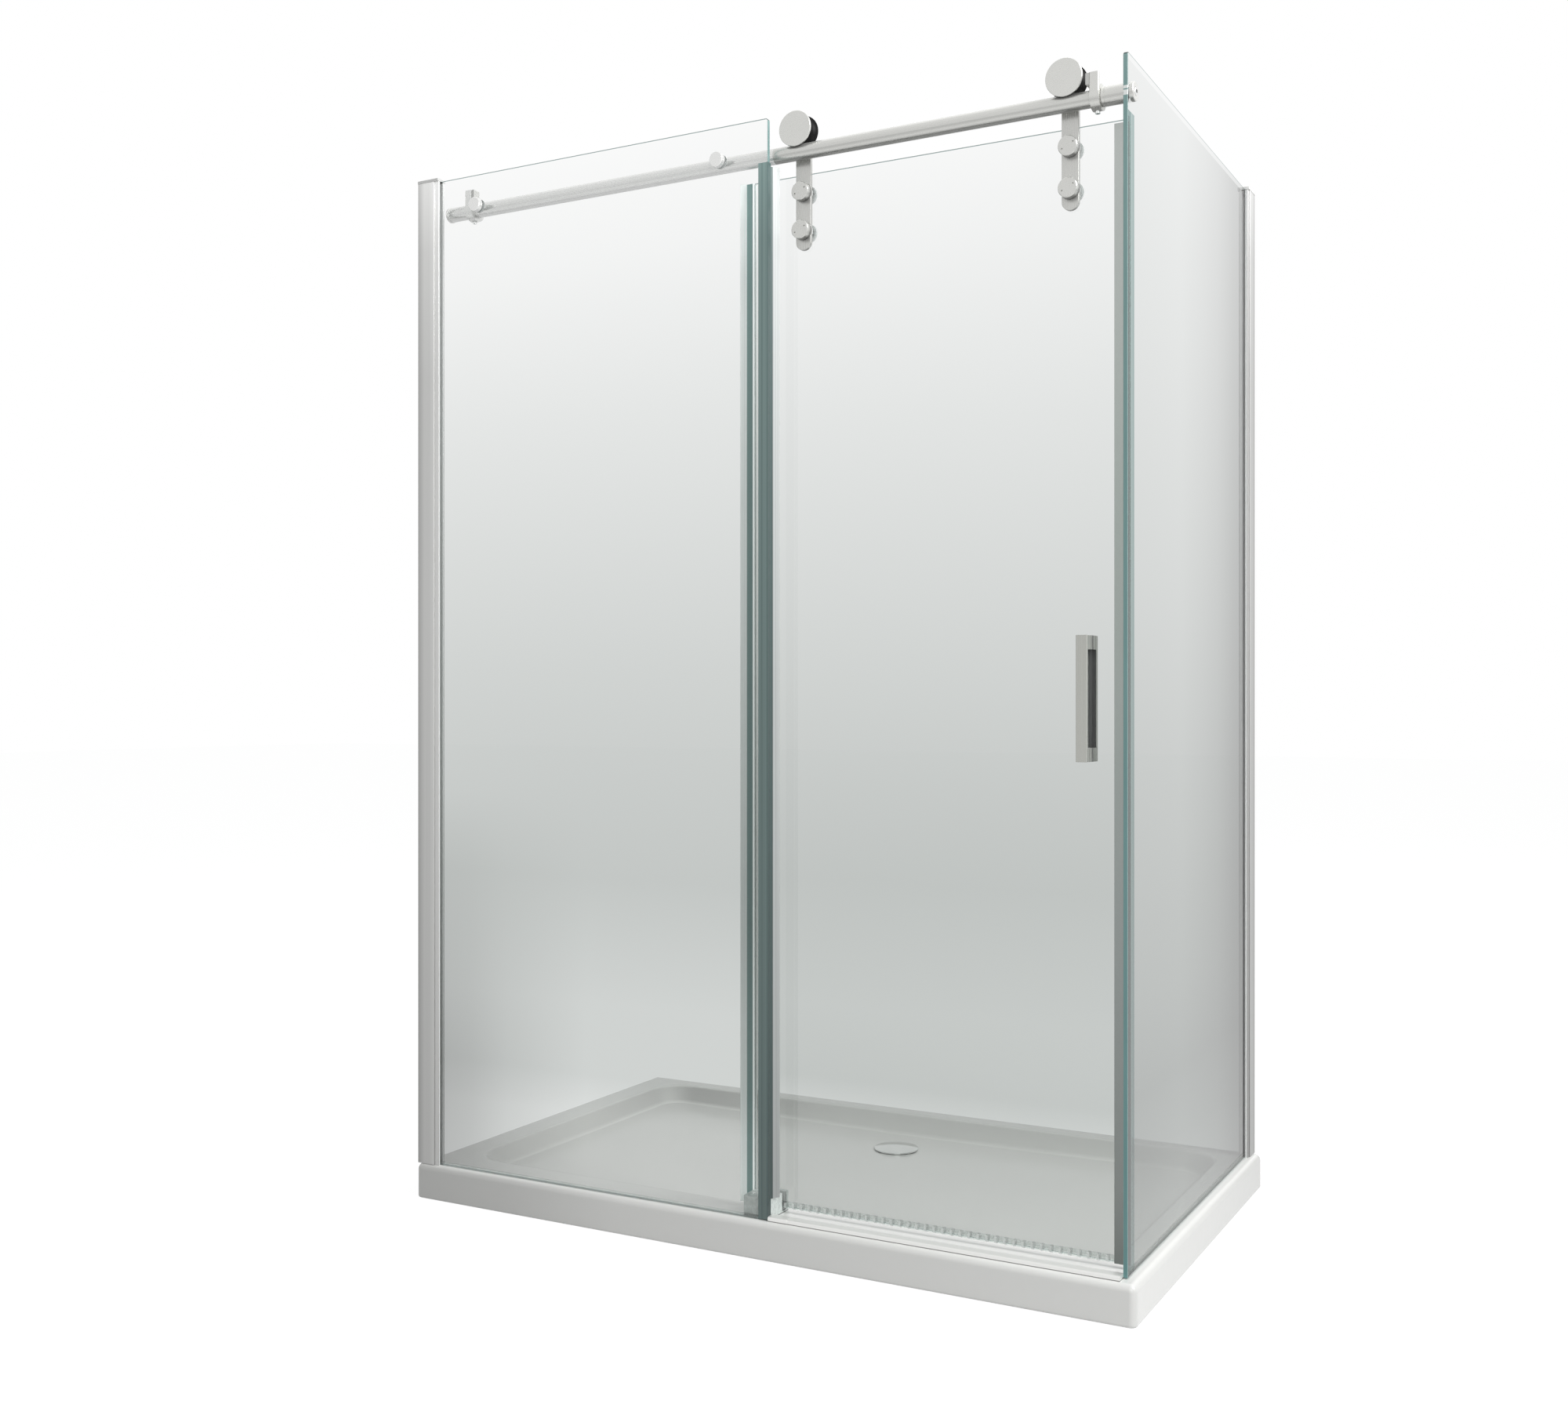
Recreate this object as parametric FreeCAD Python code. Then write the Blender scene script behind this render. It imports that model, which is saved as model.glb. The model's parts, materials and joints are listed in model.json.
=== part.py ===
import FreeCAD, Part
import math
import os

# Corner shower cabin with a glass door that slides on an open round rail.
# Millimetres, +Z up. The origin is the middle of the tray's underside.
# X runs along the front from left to right, and the front faces -Y.
# The left and the back side are open: there the cabin stands against two walls.

# Tray
tray_length = 1500.0
tray_depth = 900.0
tray_height = 70.0
tray_corner_radius = 12.0
tray_top_round = 12.0
tray_foot_round = 5.0
front_rim_width = 92.0
back_rim_width = 52.0
side_rim_width = 68.0
basin_slope_run = 38.0
basin_slope_drop = 50.0
basin_corner_radius = 72.0
basin_low_corner_radius = 48.0
basin_lip_round = 9.0
basin_floor_round = 14.0
basin_fall_share = 0.009
tray_floor_thickness = 10.0
tray_skirt_thickness = 9.0
tray_rib_thickness = 8.0
underside_pocket_columns = 8
underside_pocket_rows = 5
underside_pocket_round = 6.0

# Waste
waste_from_left = 757.0
waste_from_front = 697.0
waste_depth = 40.0
waste_hole_radius = 43.6
waste_clear_radius = 64.0
waste_ground_gap = 0.5
drain_gasket_thickness = 2.0
drain_gasket_width = 6.0
drain_body_flange_thickness = 2.2
drain_body_wall = 2.2
drain_body_floor = 2.5
drain_outlet_radius = 20.0
drain_outlet_wall = 2.4
drain_outlet_collar = 5.5
drain_flange_radius = 47.0
drain_flange_thickness = 2.4
drain_neck_radius = 40.4
drain_neck_gap = 7.0
drain_ledge_radius = 35.0
drain_ledge_depth = 4.0
drain_mouth_radius = 38.0
drain_thread_clearance = 0.2
strainer_thickness = 1.5
strainer_hole_radius = 3.1
strainer_hole_counts = (6, 12)
strainer_ring_shares = (0.36, 0.72)
drain_cover_radius = 48.0
drain_cover_crown = 4.0
drain_cover_edge = 2.2
drain_cover_gap = 2.5
drain_cover_skirt_radius = 36.5
drain_cover_skirt_wall = 2.4
drain_cover_slots = 4
drain_cover_slot_width = 14.0

# Glass
glass_thickness = 8.0
glass_height = 2000.0
glass_arris = 0.8
glass_corner_radius = 5.0
fixed_glass_setback = 13.5
fixed_glass_reach = 815.0
side_glass_inset = 21.2
side_glass_setback = 26.5
door_overlap = 75.5
door_closing_gap = 7.8
door_foot_gap = 11.0
door_top_below_rail = 33.4
door_travel = 700.0

# Strips under the fixed and the side glass
sill_strip_thickness = 2.0
sill_strip_grip = 5.0
sill_strip_wall = 0.8
glazing_clearance = 0.1

# Wall profiles, described across the glass and away from the wall
wall_channel_width = 23.0
wall_channel_depth = 42.0
wall_channel_thickness = 2.0
wall_channel_edge_round = 0.8
glass_channel_start = 12.0
glass_channel_reach = 52.0
glass_channel_thickness = 1.8
channel_fit_clearance = 0.3
glass_edge_from_wall = 22.0
gasket_back_thickness = 2.5
gasket_end_inset = 0.5
cap_height = 6.0
cap_overhang = 0.6
cap_seat_gap = 0.3
cap_tongue_depth = 12.0
cap_tongue_clearance = 0.3
cap_edge_round = 1.5
wall_screw_radius = 3.0
wall_screw_count = 3
wall_screw_lowest = 150.0

# Small countersunk screws
lock_screw_radius = 1.9
lock_screw_head_radius = 3.8
lock_screw_head_depth = 1.5
lock_screw_length = 4.0
lock_screw_from_wall = 30.0
lock_screw_clearance = 0.1
lock_screw_lowest = 230.0
guide_screw_length = 24.0

# Rail
rail_radius = 14.25
rail_wall = 2.0
rail_glass_gap = 9.25
rail_below_glass_top = 61.2
rail_start = 58.0
rail_cap_radius = 15.2
rail_cap_length = 6.0
rail_plug_length = 15.0
rail_plug_clearance = 0.2
collar_radius = 16.0
collar_length = 39.2
collar_socket_depth = 27.0
collar_fit = 0.1
rail_end_gap = 0.3
collar_groove_width = 1.2
collar_groove_depth = 0.6
collar_groove_from_end = 6.0
flange_washer_thickness = 0.8
flange_bush_radius = 8.9
flange_hole_clearance = 0.1
outer_flange_length = 7.0
outer_flange_chamfer = 1.2
outer_flange_counterbore = 5.0
outer_flange_bore_clearance = 0.2
flange_bolt_radius = 4.0
flange_bolt_head_radius = 7.0
flange_bolt_head_length = 6.5
flange_bolt_head_chamfer = 0.5
flange_bolt_socket = 3.0
flange_bolt_socket_depth = 4.0
bolt_clearance = 0.1
bolt_engagement = 8.0

# Clamps that hold the rail to the fixed glass
clamp_insets = (125.0, 104.0)
clamp_knob_radius = 14.0
clamp_knob_thickness = 10.2
clamp_washer_radius = 13.0
clamp_washer_thickness = 0.8
clamp_hole_radius = 6.0
clamp_standoff_radius = 5.0
clamp_stud_radius = 3.0
clamp_stud_depth = 8.0
clamp_stud_reach = 4.5
stud_end_gap = 0.5
knob_edge_round = 1.2

# Rollers and the straps that carry the door
roller_insets = (123.5, 93.5)
roller_tread_radius = 24.0
roller_flange_radius = 31.5
roller_width = 28.5
roller_running_gap = 0.3
roller_web_width = 10.0
roller_rim_thickness = 5.0
roller_bearing_lip = 2.5
roller_cap_radius = 32.0
roller_cap_gap = 0.9
roller_cap_thickness = 3.6
roller_cap_boss_radius = 14.0
roller_cap_boss_wall = 2.5
roller_cap_edge_round = 0.8
bearing_radius = 11.0
bearing_width = 7.0
bearing_groove_depth = 0.5
bearing_race_share = 0.3
bearing_seat_clearance = 0.02
bearing_axial_gap = 0.3
axle_radius = 4.0
axle_running_clearance = 0.05
axle_head_radius = 7.0
axle_head_length = 3.6
axle_socket_radius = 2.5
axle_socket_depth = 2.0
spacer_radius = 7.0
strap_width = 30.0
strap_thickness = 8.0
strap_rail_gap = 1.0
strap_glass_gap = 1.75
strap_length = 197.0
strap_edge_chamfer = 0.6
nut_radius = 8.0
nut_thickness = 6.0
strap_knob_drops = (177.4, 107.4)
strap_knob_radius = 17.0
strap_knob_thickness = 15.0
strap_pin_hole_radius = 1.5
strap_pin_hole_reach = 10.8
strap_pin_hole_turn = math.radians(27)
strap_pin_hole_depth = 3.0
strap_stud_radius = 4.0
strap_stud_depth = 7.5
strap_disc_thickness = 6.0
strap_disc_stud_depth = 3.5
strap_bush_radius = 6.9
strap_washer_radius = 15.0
back_washer_thickness = 1.0

# Stoppers on the rail
stopper_width = 16.0
stopper_ring_radius = 21.5
stopper_arm_thickness = 7.0
stopper_arm_rise = 37.2
stopper_arm_round = 2.0
stopper_open_gap = 0.3
stopper_closed_gap = 5.8
buffer_reach = 7.0
buffer_height = 19.0
buffer_depth = 18.0
buffer_inset = 0.5
buffer_stem_radius = 2.0
buffer_stem_length = 6.0
buffer_edge_round = 1.5
grub_radius = 2.5
grub_head_radius = 4.5
grub_head_length = 4.0
grub_clearance = 0.1
grub_socket_radius = 1.8
grub_socket_depth = 2.5

# Threshold bar between the fixed and the side glass
threshold_setback = 10.5
threshold_width = 20.0
threshold_height = 8.0
threshold_wall = 1.5
threshold_front_round = 3.5
threshold_back_round = 1.5
threshold_end_lengths = (39.0, 45.0)
threshold_end_proud = 0.5
threshold_tongue_length = 12.0
threshold_gap = 0.3

# Guide that keeps the bottom of the door in line
guide_length = 58.0
guide_overshoot = 1.0
guide_back_wall = 10.3
guide_front_gap = 0.4
guide_rise = 36.0
guide_pad_thickness = 1.0
guide_liner_thickness = 1.5
guide_liner_clearance = 2.2
guide_slot_rise = 5.0
guide_corner_round = 3.0
guide_screw_insets = (11.0, 13.0)

# Seal on the fixed glass
seal_wall = 1.2
seal_clearance = 0.1
edge_seal_grip = 19.0
edge_seal_rail_gap = 4.5
edge_seal_fin_drop = 5.0
edge_seal_fin_gap = 1.0
edge_seal_fin_reach = 17.5
edge_seal_fin_lean = 13.0
edge_seal_fin_inset = 4.0

# Seals on the door
door_seal_grip = 16.0
door_seal_fin_reach = 8.0
door_seal_fin_lean = 8.5
closing_seal_grip = 20.0
closing_seal_foot_drop = 3.0
closing_seal_top_inset = 5.0
seal_end_gap = 0.3
closing_bulb_radius = 3.0
closing_bulb_wall = 0.8
bottom_seal_grip = 8.0
bottom_seal_lip = 2.5

# Handle, one half on each side of the door glass
handle_from_door_edge = 79.0
handle_width = 20.0
handle_depth = 24.5
handle_rise = 840.0
handle_length = 212.0
handle_pocket_depth = 12.0
handle_pocket_length = 165.0
handle_pocket_widths = (20.5, 16.0)
handle_edge_round = 1.0
handle_pocket_round = 5.0
handle_screw_inset = 11.75
handle_screw_radius = 3.0
handle_screw_head_radius = 5.0
handle_screw_head_length = 6.0
handle_screw_sink = 7.0
handle_screw_socket_radius = 2.5
handle_screw_socket_depth = 3.0
handle_screw_engagement = 12.0
handle_glass_hole_radius = 5.0

# One named overrun for every cut, and how near two places are that count as one
overrun = 2.0
same_place = 0.0001

# Places that follow from the sizes above
left_x = -tray_length / 2
right_x = tray_length / 2
front_y = -tray_depth / 2
back_y = tray_depth / 2
glass_foot = tray_height + sill_strip_thickness
glass_top = tray_height + glass_height
waste_x = left_x + waste_from_left
waste_y = front_y + waste_from_front
waste_floor_height = tray_height - waste_depth

fixed_front_y = front_y + fixed_glass_setback
fixed_back_y = fixed_front_y + glass_thickness
fixed_mid_y = fixed_front_y + glass_thickness / 2
fixed_right_x = left_x + fixed_glass_reach
side_outer_x = right_x - side_glass_inset
side_inner_x = side_outer_x - glass_thickness
side_mid_x = side_outer_x - glass_thickness / 2
side_front_y = front_y + side_glass_setback

rail_y = fixed_back_y + rail_glass_gap + rail_radius
rail_height = glass_top - rail_below_glass_top
collar_start_x = side_inner_x - flange_washer_thickness - collar_length
clamp_xs = (left_x + glass_edge_from_wall + clamp_insets[0], fixed_right_x - clamp_insets[1])
stopper_arm_top = rail_height + stopper_arm_rise

door_left_x = fixed_right_x - door_overlap
door_right_x = side_inner_x - door_closing_gap
door_glass_bottom = tray_height + door_foot_gap
door_glass_top = rail_height - door_top_below_rail
strap_front_y = rail_y + rail_radius + strap_rail_gap
strap_back_y = strap_front_y + strap_thickness
door_front_y = strap_back_y + strap_glass_gap
door_back_y = door_front_y + glass_thickness
door_mid_y = door_front_y + glass_thickness / 2
guide_top = tray_height + guide_rise

roller_rise = rail_radius + roller_running_gap + roller_tread_radius
roller_axis_height = rail_height + roller_rise
roller_xs = (door_left_x + roller_insets[0], door_right_x - roller_insets[1])
strap_arc_height = roller_axis_height - strap_length
strap_knob_heights = [roller_axis_height - drop for drop in strap_knob_drops]

handle_x = door_right_x - handle_from_door_edge
handle_mid_x = handle_x + handle_width / 2
handle_bottom = tray_height + handle_rise


def vector(x, y, z):
    return FreeCAD.Vector(x, y, z)


x_way = vector(1, 0, 0)
y_way = vector(0, 1, 0)
z_way = vector(0, 0, 1)


# Basic forms

def block(xs, ys, zs):
    """A box from the low to the high end of each pair."""
    return Part.makeBox(xs[1] - xs[0], ys[1] - ys[0], zs[1] - zs[0], vector(xs[0], ys[0], zs[0]))


def rod(start, way, length, radius):
    return Part.makeCylinder(radius, length, start, way)


def ring(start, way, length, outer_radius, inner_radius):
    hole = rod(start - way * overrun, way, length + overrun * 2, inner_radius)
    return rod(start, way, length, outer_radius).cut(hole)


def face_of(points):
    return Part.Face(Part.makePolygon(points + points[:1]))


def prism(points, way, length):
    return face_of(points).extrude(way * length)


def upright(outline, low, high):
    """A prism with the same plan, given as (x, y) pairs, from one height to another."""
    return prism([vector(x, y, low) for x, y in outline], z_way, high - low)


def turned(outline, start, way):
    """A solid of revolution. The outline holds (radius, distance along the axis) pairs."""
    points = [vector(radius, 0, along) for radius, along in outline]
    solid = face_of(points).revolve(vector(0, 0, 0), z_way, 360)
    solid.Placement = FreeCAD.Placement(start, FreeCAD.Rotation(z_way, way))
    return solid


def chamfered_rod(start, way, length, radius, chamfer):
    """A rod whose far end has a chamfer."""
    outline = [(0, 0), (radius, 0), (radius, length - chamfer), (radius - chamfer, length), (0, length)]
    return turned(outline, start, way)


def rounded(shape, radius, wanted):
    """Round those edges of a shape that the test picks."""
    return shape.makeFillet(radius, [edge for edge in shape.Edges if wanted(edge)])


def runs_along(edge, way):
    """True for a straight edge that is parallel to a direction."""
    if edge.Curve.TypeId != "Part::GeomLine":
        return False
    return abs(edge.tangentAt(edge.FirstParameter).cross(way).Length) < same_place


def lies_at(edge, axis, value):
    """True for an edge that lies wholly in a plane across an axis."""
    bounds = edge.BoundBox
    low = (bounds.XMin, bounds.YMin, bounds.ZMin)[axis]
    high = (bounds.XMax, bounds.YMax, bounds.ZMax)[axis]
    return abs(low - value) < same_place and abs(high - value) < same_place


def rounded_rectangle(xs, ys, z, radius):
    """A closed wire with four straight runs and four arcs."""
    centres = [
        (xs[1] - radius, ys[0] + radius, -90),
        (xs[1] - radius, ys[1] - radius, 0),
        (xs[0] + radius, ys[1] - radius, 90),
        (xs[0] + radius, ys[0] + radius, 180),
    ]
    arcs = []
    for x, y, start in centres:
        arcs.append(Part.makeCircle(radius, vector(x, y, z), z_way, start, start + 90))
    edges = []
    for arc, following in zip(arcs, arcs[1:] + arcs[:1]):
        edges.append(arc)
        edges.append(Part.makeLine(arc.valueAt(arc.LastParameter),
                                   following.valueAt(following.FirstParameter)))
    return Part.Wire(edges)


def joined(solids):
    """One solid from several that touch or overlap."""
    whole = solids[0]
    for solid in solids[1:]:
        whole = whole.fuse(solid)
    return whole.removeSplitter()


def without(shape, cutters):
    for cutter in cutters:
        shape = shape.cut(cutter)
    return shape


def save(name, *solids):
    """Write one node. Several solids are a group of separate pieces."""
    shape = solids[0] if len(solids) == 1 else Part.makeCompound(list(solids))
    shape.exportStep(os.path.join("parts", name + ".step"))


# Tray

def basin_space():
    """The space that the water falls through: sloped walls over a floor that falls to the waste."""
    low_z = tray_height - basin_slope_drop
    xs = (left_x + side_rim_width, right_x - side_rim_width)
    ys = (front_y + front_rim_width, back_y - back_rim_width)
    low_xs = (xs[0] + basin_slope_run, xs[1] - basin_slope_run)
    low_ys = (ys[0] + basin_slope_run, ys[1] - basin_slope_run)
    walls = Part.makeLoft([
        rounded_rectangle(xs, ys, tray_height, basin_corner_radius),
        rounded_rectangle(low_xs, low_ys, low_z, basin_low_corner_radius),
    ], True, True)
    reach = tray_length
    funnel = turned([
        (0, waste_floor_height),
        (reach, waste_floor_height + reach * basin_fall_share),
        (reach, tray_height + overrun),
        (0, tray_height + overrun),
    ], vector(waste_x, waste_y, 0), z_way)
    space = walls.common(funnel)
    floor_edges = []
    for edge in space.Edges:
        bounds = edge.BoundBox
        flat = bounds.ZMax - bounds.ZMin < tray_floor_thickness
        if flat and bounds.ZMax < tray_height - tray_floor_thickness:
            floor_edges.append(edge)
    return space.makeFillet(basin_floor_round, floor_edges)


def underside_pockets():
    """Hollows between the ribs, all under the floor and open at the bottom."""
    roof = waste_floor_height - tray_floor_thickness
    low_x = left_x + tray_skirt_thickness
    low_y = front_y + tray_skirt_thickness
    pitch_x = (tray_length - tray_skirt_thickness * 2 + tray_rib_thickness) / underside_pocket_columns
    pitch_y = (tray_depth - tray_skirt_thickness * 2 + tray_rib_thickness) / underside_pocket_rows
    for column in range(underside_pocket_columns):
        for row in range(underside_pocket_rows):
            x = low_x + column * pitch_x
            y = low_y + row * pitch_y
            xs = (x, x + pitch_x - tray_rib_thickness)
            ys = (y, y + pitch_y - tray_rib_thickness)
            outline = rounded_rectangle(xs, ys, -overrun, underside_pocket_round)
            yield Part.Face(outline).extrude(z_way * (roof + overrun))


def build_tray():
    tray = block((left_x, right_x), (front_y, back_y), (0, tray_height))
    tray = rounded(tray, tray_corner_radius, lambda edge: runs_along(edge, z_way))
    tray = rounded(tray, tray_top_round, lambda edge: lies_at(edge, 2, tray_height))
    tray = rounded(tray, tray_foot_round, lambda edge: lies_at(edge, 2, 0))
    tray = tray.cut(basin_space())
    basin_edge_x = tray_length / 2 - side_rim_width
    tray = rounded(tray, basin_lip_round,
                   lambda edge: lies_at(edge, 2, tray_height)
                   and edge.BoundBox.XMax < basin_edge_x + same_place
                   and edge.BoundBox.XMin > -basin_edge_x - same_place
                   and edge.BoundBox.YMin > front_y + front_rim_width - same_place)
    around_waste = rod(vector(waste_x, waste_y, -overrun), z_way, tray_height, waste_clear_radius)
    below_floor = block((left_x, right_x), (front_y, back_y),
                        (-overrun, waste_floor_height - tray_floor_thickness))
    hollow = around_waste.common(below_floor)
    for pocket in underside_pockets():
        tray = tray.cut(pocket)
    tray = tray.cut(hollow)
    recess_z = waste_floor_height - drain_flange_thickness
    recess_radius = drain_flange_radius + drain_thread_clearance
    through = rod(vector(waste_x, waste_y, 0), z_way, tray_height, waste_hole_radius)
    recess = rod(vector(waste_x, waste_y, recess_z), z_way, tray_height, recess_radius)
    save("shower_tray", without(tray, [through, recess]))


# Waste

def build_waste():
    at = vector(waste_x, waste_y, 0)
    underside = waste_floor_height - tray_floor_thickness
    gasket_low = underside - drain_gasket_thickness
    body_top = gasket_low
    cup_inner = drain_neck_radius + drain_thread_clearance
    cup_outer = cup_inner + drain_body_wall
    flange_reach = waste_hole_radius + drain_gasket_width
    save("drain_gasket", ring(at + z_way * gasket_low, z_way, drain_gasket_thickness,
                              flange_reach, waste_hole_radius))

    cup_floor = waste_ground_gap + drain_body_floor
    save("drain_body", turned([
        (drain_outlet_radius, waste_ground_gap),
        (cup_outer, waste_ground_gap),
        (cup_outer, body_top - drain_body_flange_thickness),
        (flange_reach, body_top - drain_body_flange_thickness),
        (flange_reach, body_top),
        (cup_inner, body_top),
        (cup_inner, cup_floor),
        (drain_outlet_radius + drain_outlet_wall, cup_floor),
        (drain_outlet_radius + drain_outlet_wall, cup_floor + drain_outlet_collar),
        (drain_outlet_radius, cup_floor + drain_outlet_collar),
    ], at, z_way))

    flange_low = waste_floor_height - drain_flange_thickness
    ledge = waste_floor_height - drain_ledge_depth
    neck_low = cup_floor + drain_neck_gap
    save("drain_flange", turned([
        (drain_ledge_radius, neck_low),
        (drain_neck_radius, neck_low),
        (drain_neck_radius, flange_low),
        (drain_flange_radius, flange_low),
        (drain_flange_radius, waste_floor_height),
        (drain_mouth_radius, waste_floor_height),
        (drain_mouth_radius, ledge),
        (drain_ledge_radius, ledge),
    ], at, z_way))

    strainer_radius = drain_mouth_radius - drain_thread_clearance
    strainer = rod(at + z_way * ledge, z_way, strainer_thickness, strainer_radius)
    for count, share in zip(strainer_hole_counts, strainer_ring_shares):
        for step in range(count):
            turn = math.tau * step / count
            x = waste_x + math.cos(turn) * strainer_radius * share
            y = waste_y + math.sin(turn) * strainer_radius * share
            hole = rod(vector(x, y, ledge - overrun), z_way, overrun * 4, strainer_hole_radius)
            strainer = strainer.cut(hole)
    save("drain_strainer", strainer)

    seat = ledge + strainer_thickness + cap_seat_gap
    edge_low = waste_floor_height + drain_cover_gap
    edge_high = edge_low + drain_cover_edge
    sag = drain_cover_crown
    bow_radius = (drain_cover_radius ** 2 + sag ** 2) / (sag * 2)
    bow_centre = edge_high + sag - bow_radius
    middle = drain_cover_radius / 2
    middle_z = bow_centre + math.sqrt(bow_radius ** 2 - middle ** 2)
    start = vector(drain_cover_radius, 0, edge_high)
    arc = Part.Arc(start, vector(middle, 0, middle_z), vector(0, 0, edge_high + sag)).toShape()
    line = Part.makePolygon([vector(0, 0, edge_high + sag), vector(0, 0, edge_low),
                             vector(drain_cover_radius, 0, edge_low), start])
    dome = Part.Face(Part.Wire([arc] + line.Edges)).revolve(vector(0, 0, 0), z_way, 360)
    dome.translate(at)
    skirt = ring(at + z_way * seat, z_way, edge_low - seat, drain_cover_skirt_radius,
                 drain_cover_skirt_radius - drain_cover_skirt_wall)
    slot_reach = drain_cover_radius
    half_slot = drain_cover_slot_width / 2
    for step in range(drain_cover_slots):
        slot = block((0, slot_reach), (-half_slot, half_slot),
                     (seat - overrun, edge_low - drain_cover_gap / 2))
        slot.rotate(vector(0, 0, 0), z_way, 360 * step / drain_cover_slots + 45)
        slot.translate(at)
        skirt = skirt.cut(slot)
    save("drain_cover", joined([dome, skirt]))


# Wall profiles
# Both sets are built around the line u = distance from the wall, v = across the glass.

def on_front(shape):
    """Move a profile piece from its own axes to the left end of the front glass."""
    shape.translate(vector(left_x, fixed_mid_y, 0))
    return shape


def on_side(shape):
    """Turn a profile piece from its own axes to the back end of the side glass."""
    shape.rotate(vector(0, 0, 0), z_way, -90)
    shape.translate(vector(side_mid_x, back_y, 0))
    return shape


def u_outline(start, end, half_width, thickness):
    """A channel in plan, open at its far end."""
    inner = half_width - thickness
    return [
        (start, -half_width), (end, -half_width), (end, -inner), (start + thickness, -inner),
        (start + thickness, inner), (end, inner), (end, half_width), (start, half_width),
    ]


def lock_screw(v_sign, height):
    """A countersunk screw whose head is flush with the outside of the wall channel."""
    start = vector(lock_screw_from_wall, v_sign * wall_channel_width / 2, height)
    return countersunk(start, vector(0, -v_sign, 0), lock_screw_length, 0)


def countersunk(start, way, length, extra):
    """A countersunk screw, or with some extra radius the hole that takes it."""
    shank = lock_screw_radius + extra
    head = lock_screw_head_radius + extra
    return turned([
        (0, 0), (head, 0), (shank, lock_screw_head_depth), (shank, length + extra), (0, length + extra),
    ], start, way)


def screw_heights(lowest):
    """Evenly spaced heights, with the lowest above the tray as far as the highest is below the top."""
    spacing = (glass_height - lowest * 2) / (wall_screw_count - 1)
    return [tray_height + lowest + step * spacing for step in range(wall_screw_count)]


def build_wall_profile(prefix, place, v_sign):
    """The wall channel, the sliding glass channel, the black gasket and the top cap of one glass."""
    half_wall = wall_channel_width / 2
    half_glass = half_wall - wall_channel_thickness - channel_fit_clearance
    half_gasket = half_glass - glass_channel_thickness - glazing_clearance
    glass_half = glass_thickness / 2 + glazing_clearance

    outer = upright(u_outline(0, wall_channel_depth, half_wall, wall_channel_thickness),
                    tray_height, glass_top)
    outer = rounded(outer, wall_channel_edge_round,
                    lambda edge: runs_along(edge, z_way)
                    and abs(abs(edge.BoundBox.Center.y) - half_wall) < same_place)
    for height in screw_heights(wall_screw_lowest):
        outer = outer.cut(rod(vector(-overrun, 0, height), x_way,
                              wall_channel_thickness + overrun * 2, wall_screw_radius))

    inner = upright(u_outline(glass_channel_start, glass_channel_reach, half_glass,
                              glass_channel_thickness), tray_height, glass_top)
    inner = rounded(inner, wall_channel_edge_round,
                    lambda edge: runs_along(edge, z_way)
                    and abs(abs(edge.BoundBox.Center.y) - half_glass) < same_place
                    and edge.BoundBox.Center.x > wall_channel_depth)
    for height in screw_heights(lock_screw_lowest):
        start = vector(lock_screw_from_wall, v_sign * half_wall, height)
        hole = countersunk(start, vector(0, -v_sign, 0), lock_screw_length, lock_screw_clearance)
        outer = outer.cut(hole)
        inner = inner.cut(hole)

    gasket_end = glass_channel_reach - gasket_end_inset
    back = glass_edge_from_wall - glazing_clearance
    gasket = upright([
        (back - gasket_back_thickness, -half_gasket), (gasket_end, -half_gasket),
        (gasket_end, -glass_half), (back, -glass_half), (back, glass_half), (gasket_end, glass_half),
        (gasket_end, half_gasket), (back - gasket_back_thickness, half_gasket),
    ], tray_height, glass_top)

    cap_half = half_wall + cap_overhang
    cap_low = glass_top + cap_seat_gap
    cap_end = glass_channel_reach + cap_overhang
    cap = block((0, cap_end), (-cap_half, cap_half), (cap_low, cap_low + cap_height))
    cap = rounded(cap, cap_edge_round, lambda edge: lies_at(edge, 2, cap_low + cap_height)
                  or (lies_at(edge, 0, cap_end) and runs_along(edge, z_way)))
    tongue_half = half_wall - wall_channel_thickness - cap_tongue_clearance
    tongue_us = (wall_channel_thickness + cap_tongue_clearance, glass_channel_start - cap_tongue_clearance)
    tongue = block(tongue_us, (-tongue_half, tongue_half), (cap_low - cap_tongue_depth, cap_low))

    save(prefix + "_wall_channel", place(outer))
    save(prefix + "_glass_channel", place(inner))
    save(prefix + "_glazing_gasket", place(gasket))
    save(prefix + "_channel_cap", place(joined([cap, tongue])))


# Standing glass

def glass_panel(xs, ys, zs, thin_axis, soft_corners):
    """A glass panel with its free corners rounded and its long edges ground to an arris.

    Each soft corner names the side of the panel (0 low, 1 high) along its width and its height.
    """
    panel = block(xs, ys, zs)
    across = (x_way, y_way)[thin_axis]
    width_axis = 1 - thin_axis
    widths = (xs, ys)[width_axis]
    places = [(widths[side], zs[level]) for side, level in soft_corners]

    def is_soft(edge):
        centre = edge.BoundBox.Center
        here = ((centre.x, centre.y)[width_axis], centre.z)
        near = any(math.dist(here, place) < same_place for place in places)
        return near and runs_along(edge, across)

    panel = rounded(panel, glass_corner_radius, is_soft)
    faces = (xs, ys)[thin_axis]
    rim = [edge for edge in panel.Edges
           if lies_at(edge, thin_axis, faces[0]) or lies_at(edge, thin_axis, faces[1])]
    return panel.makeChamfer(glass_arris, rim)


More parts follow.
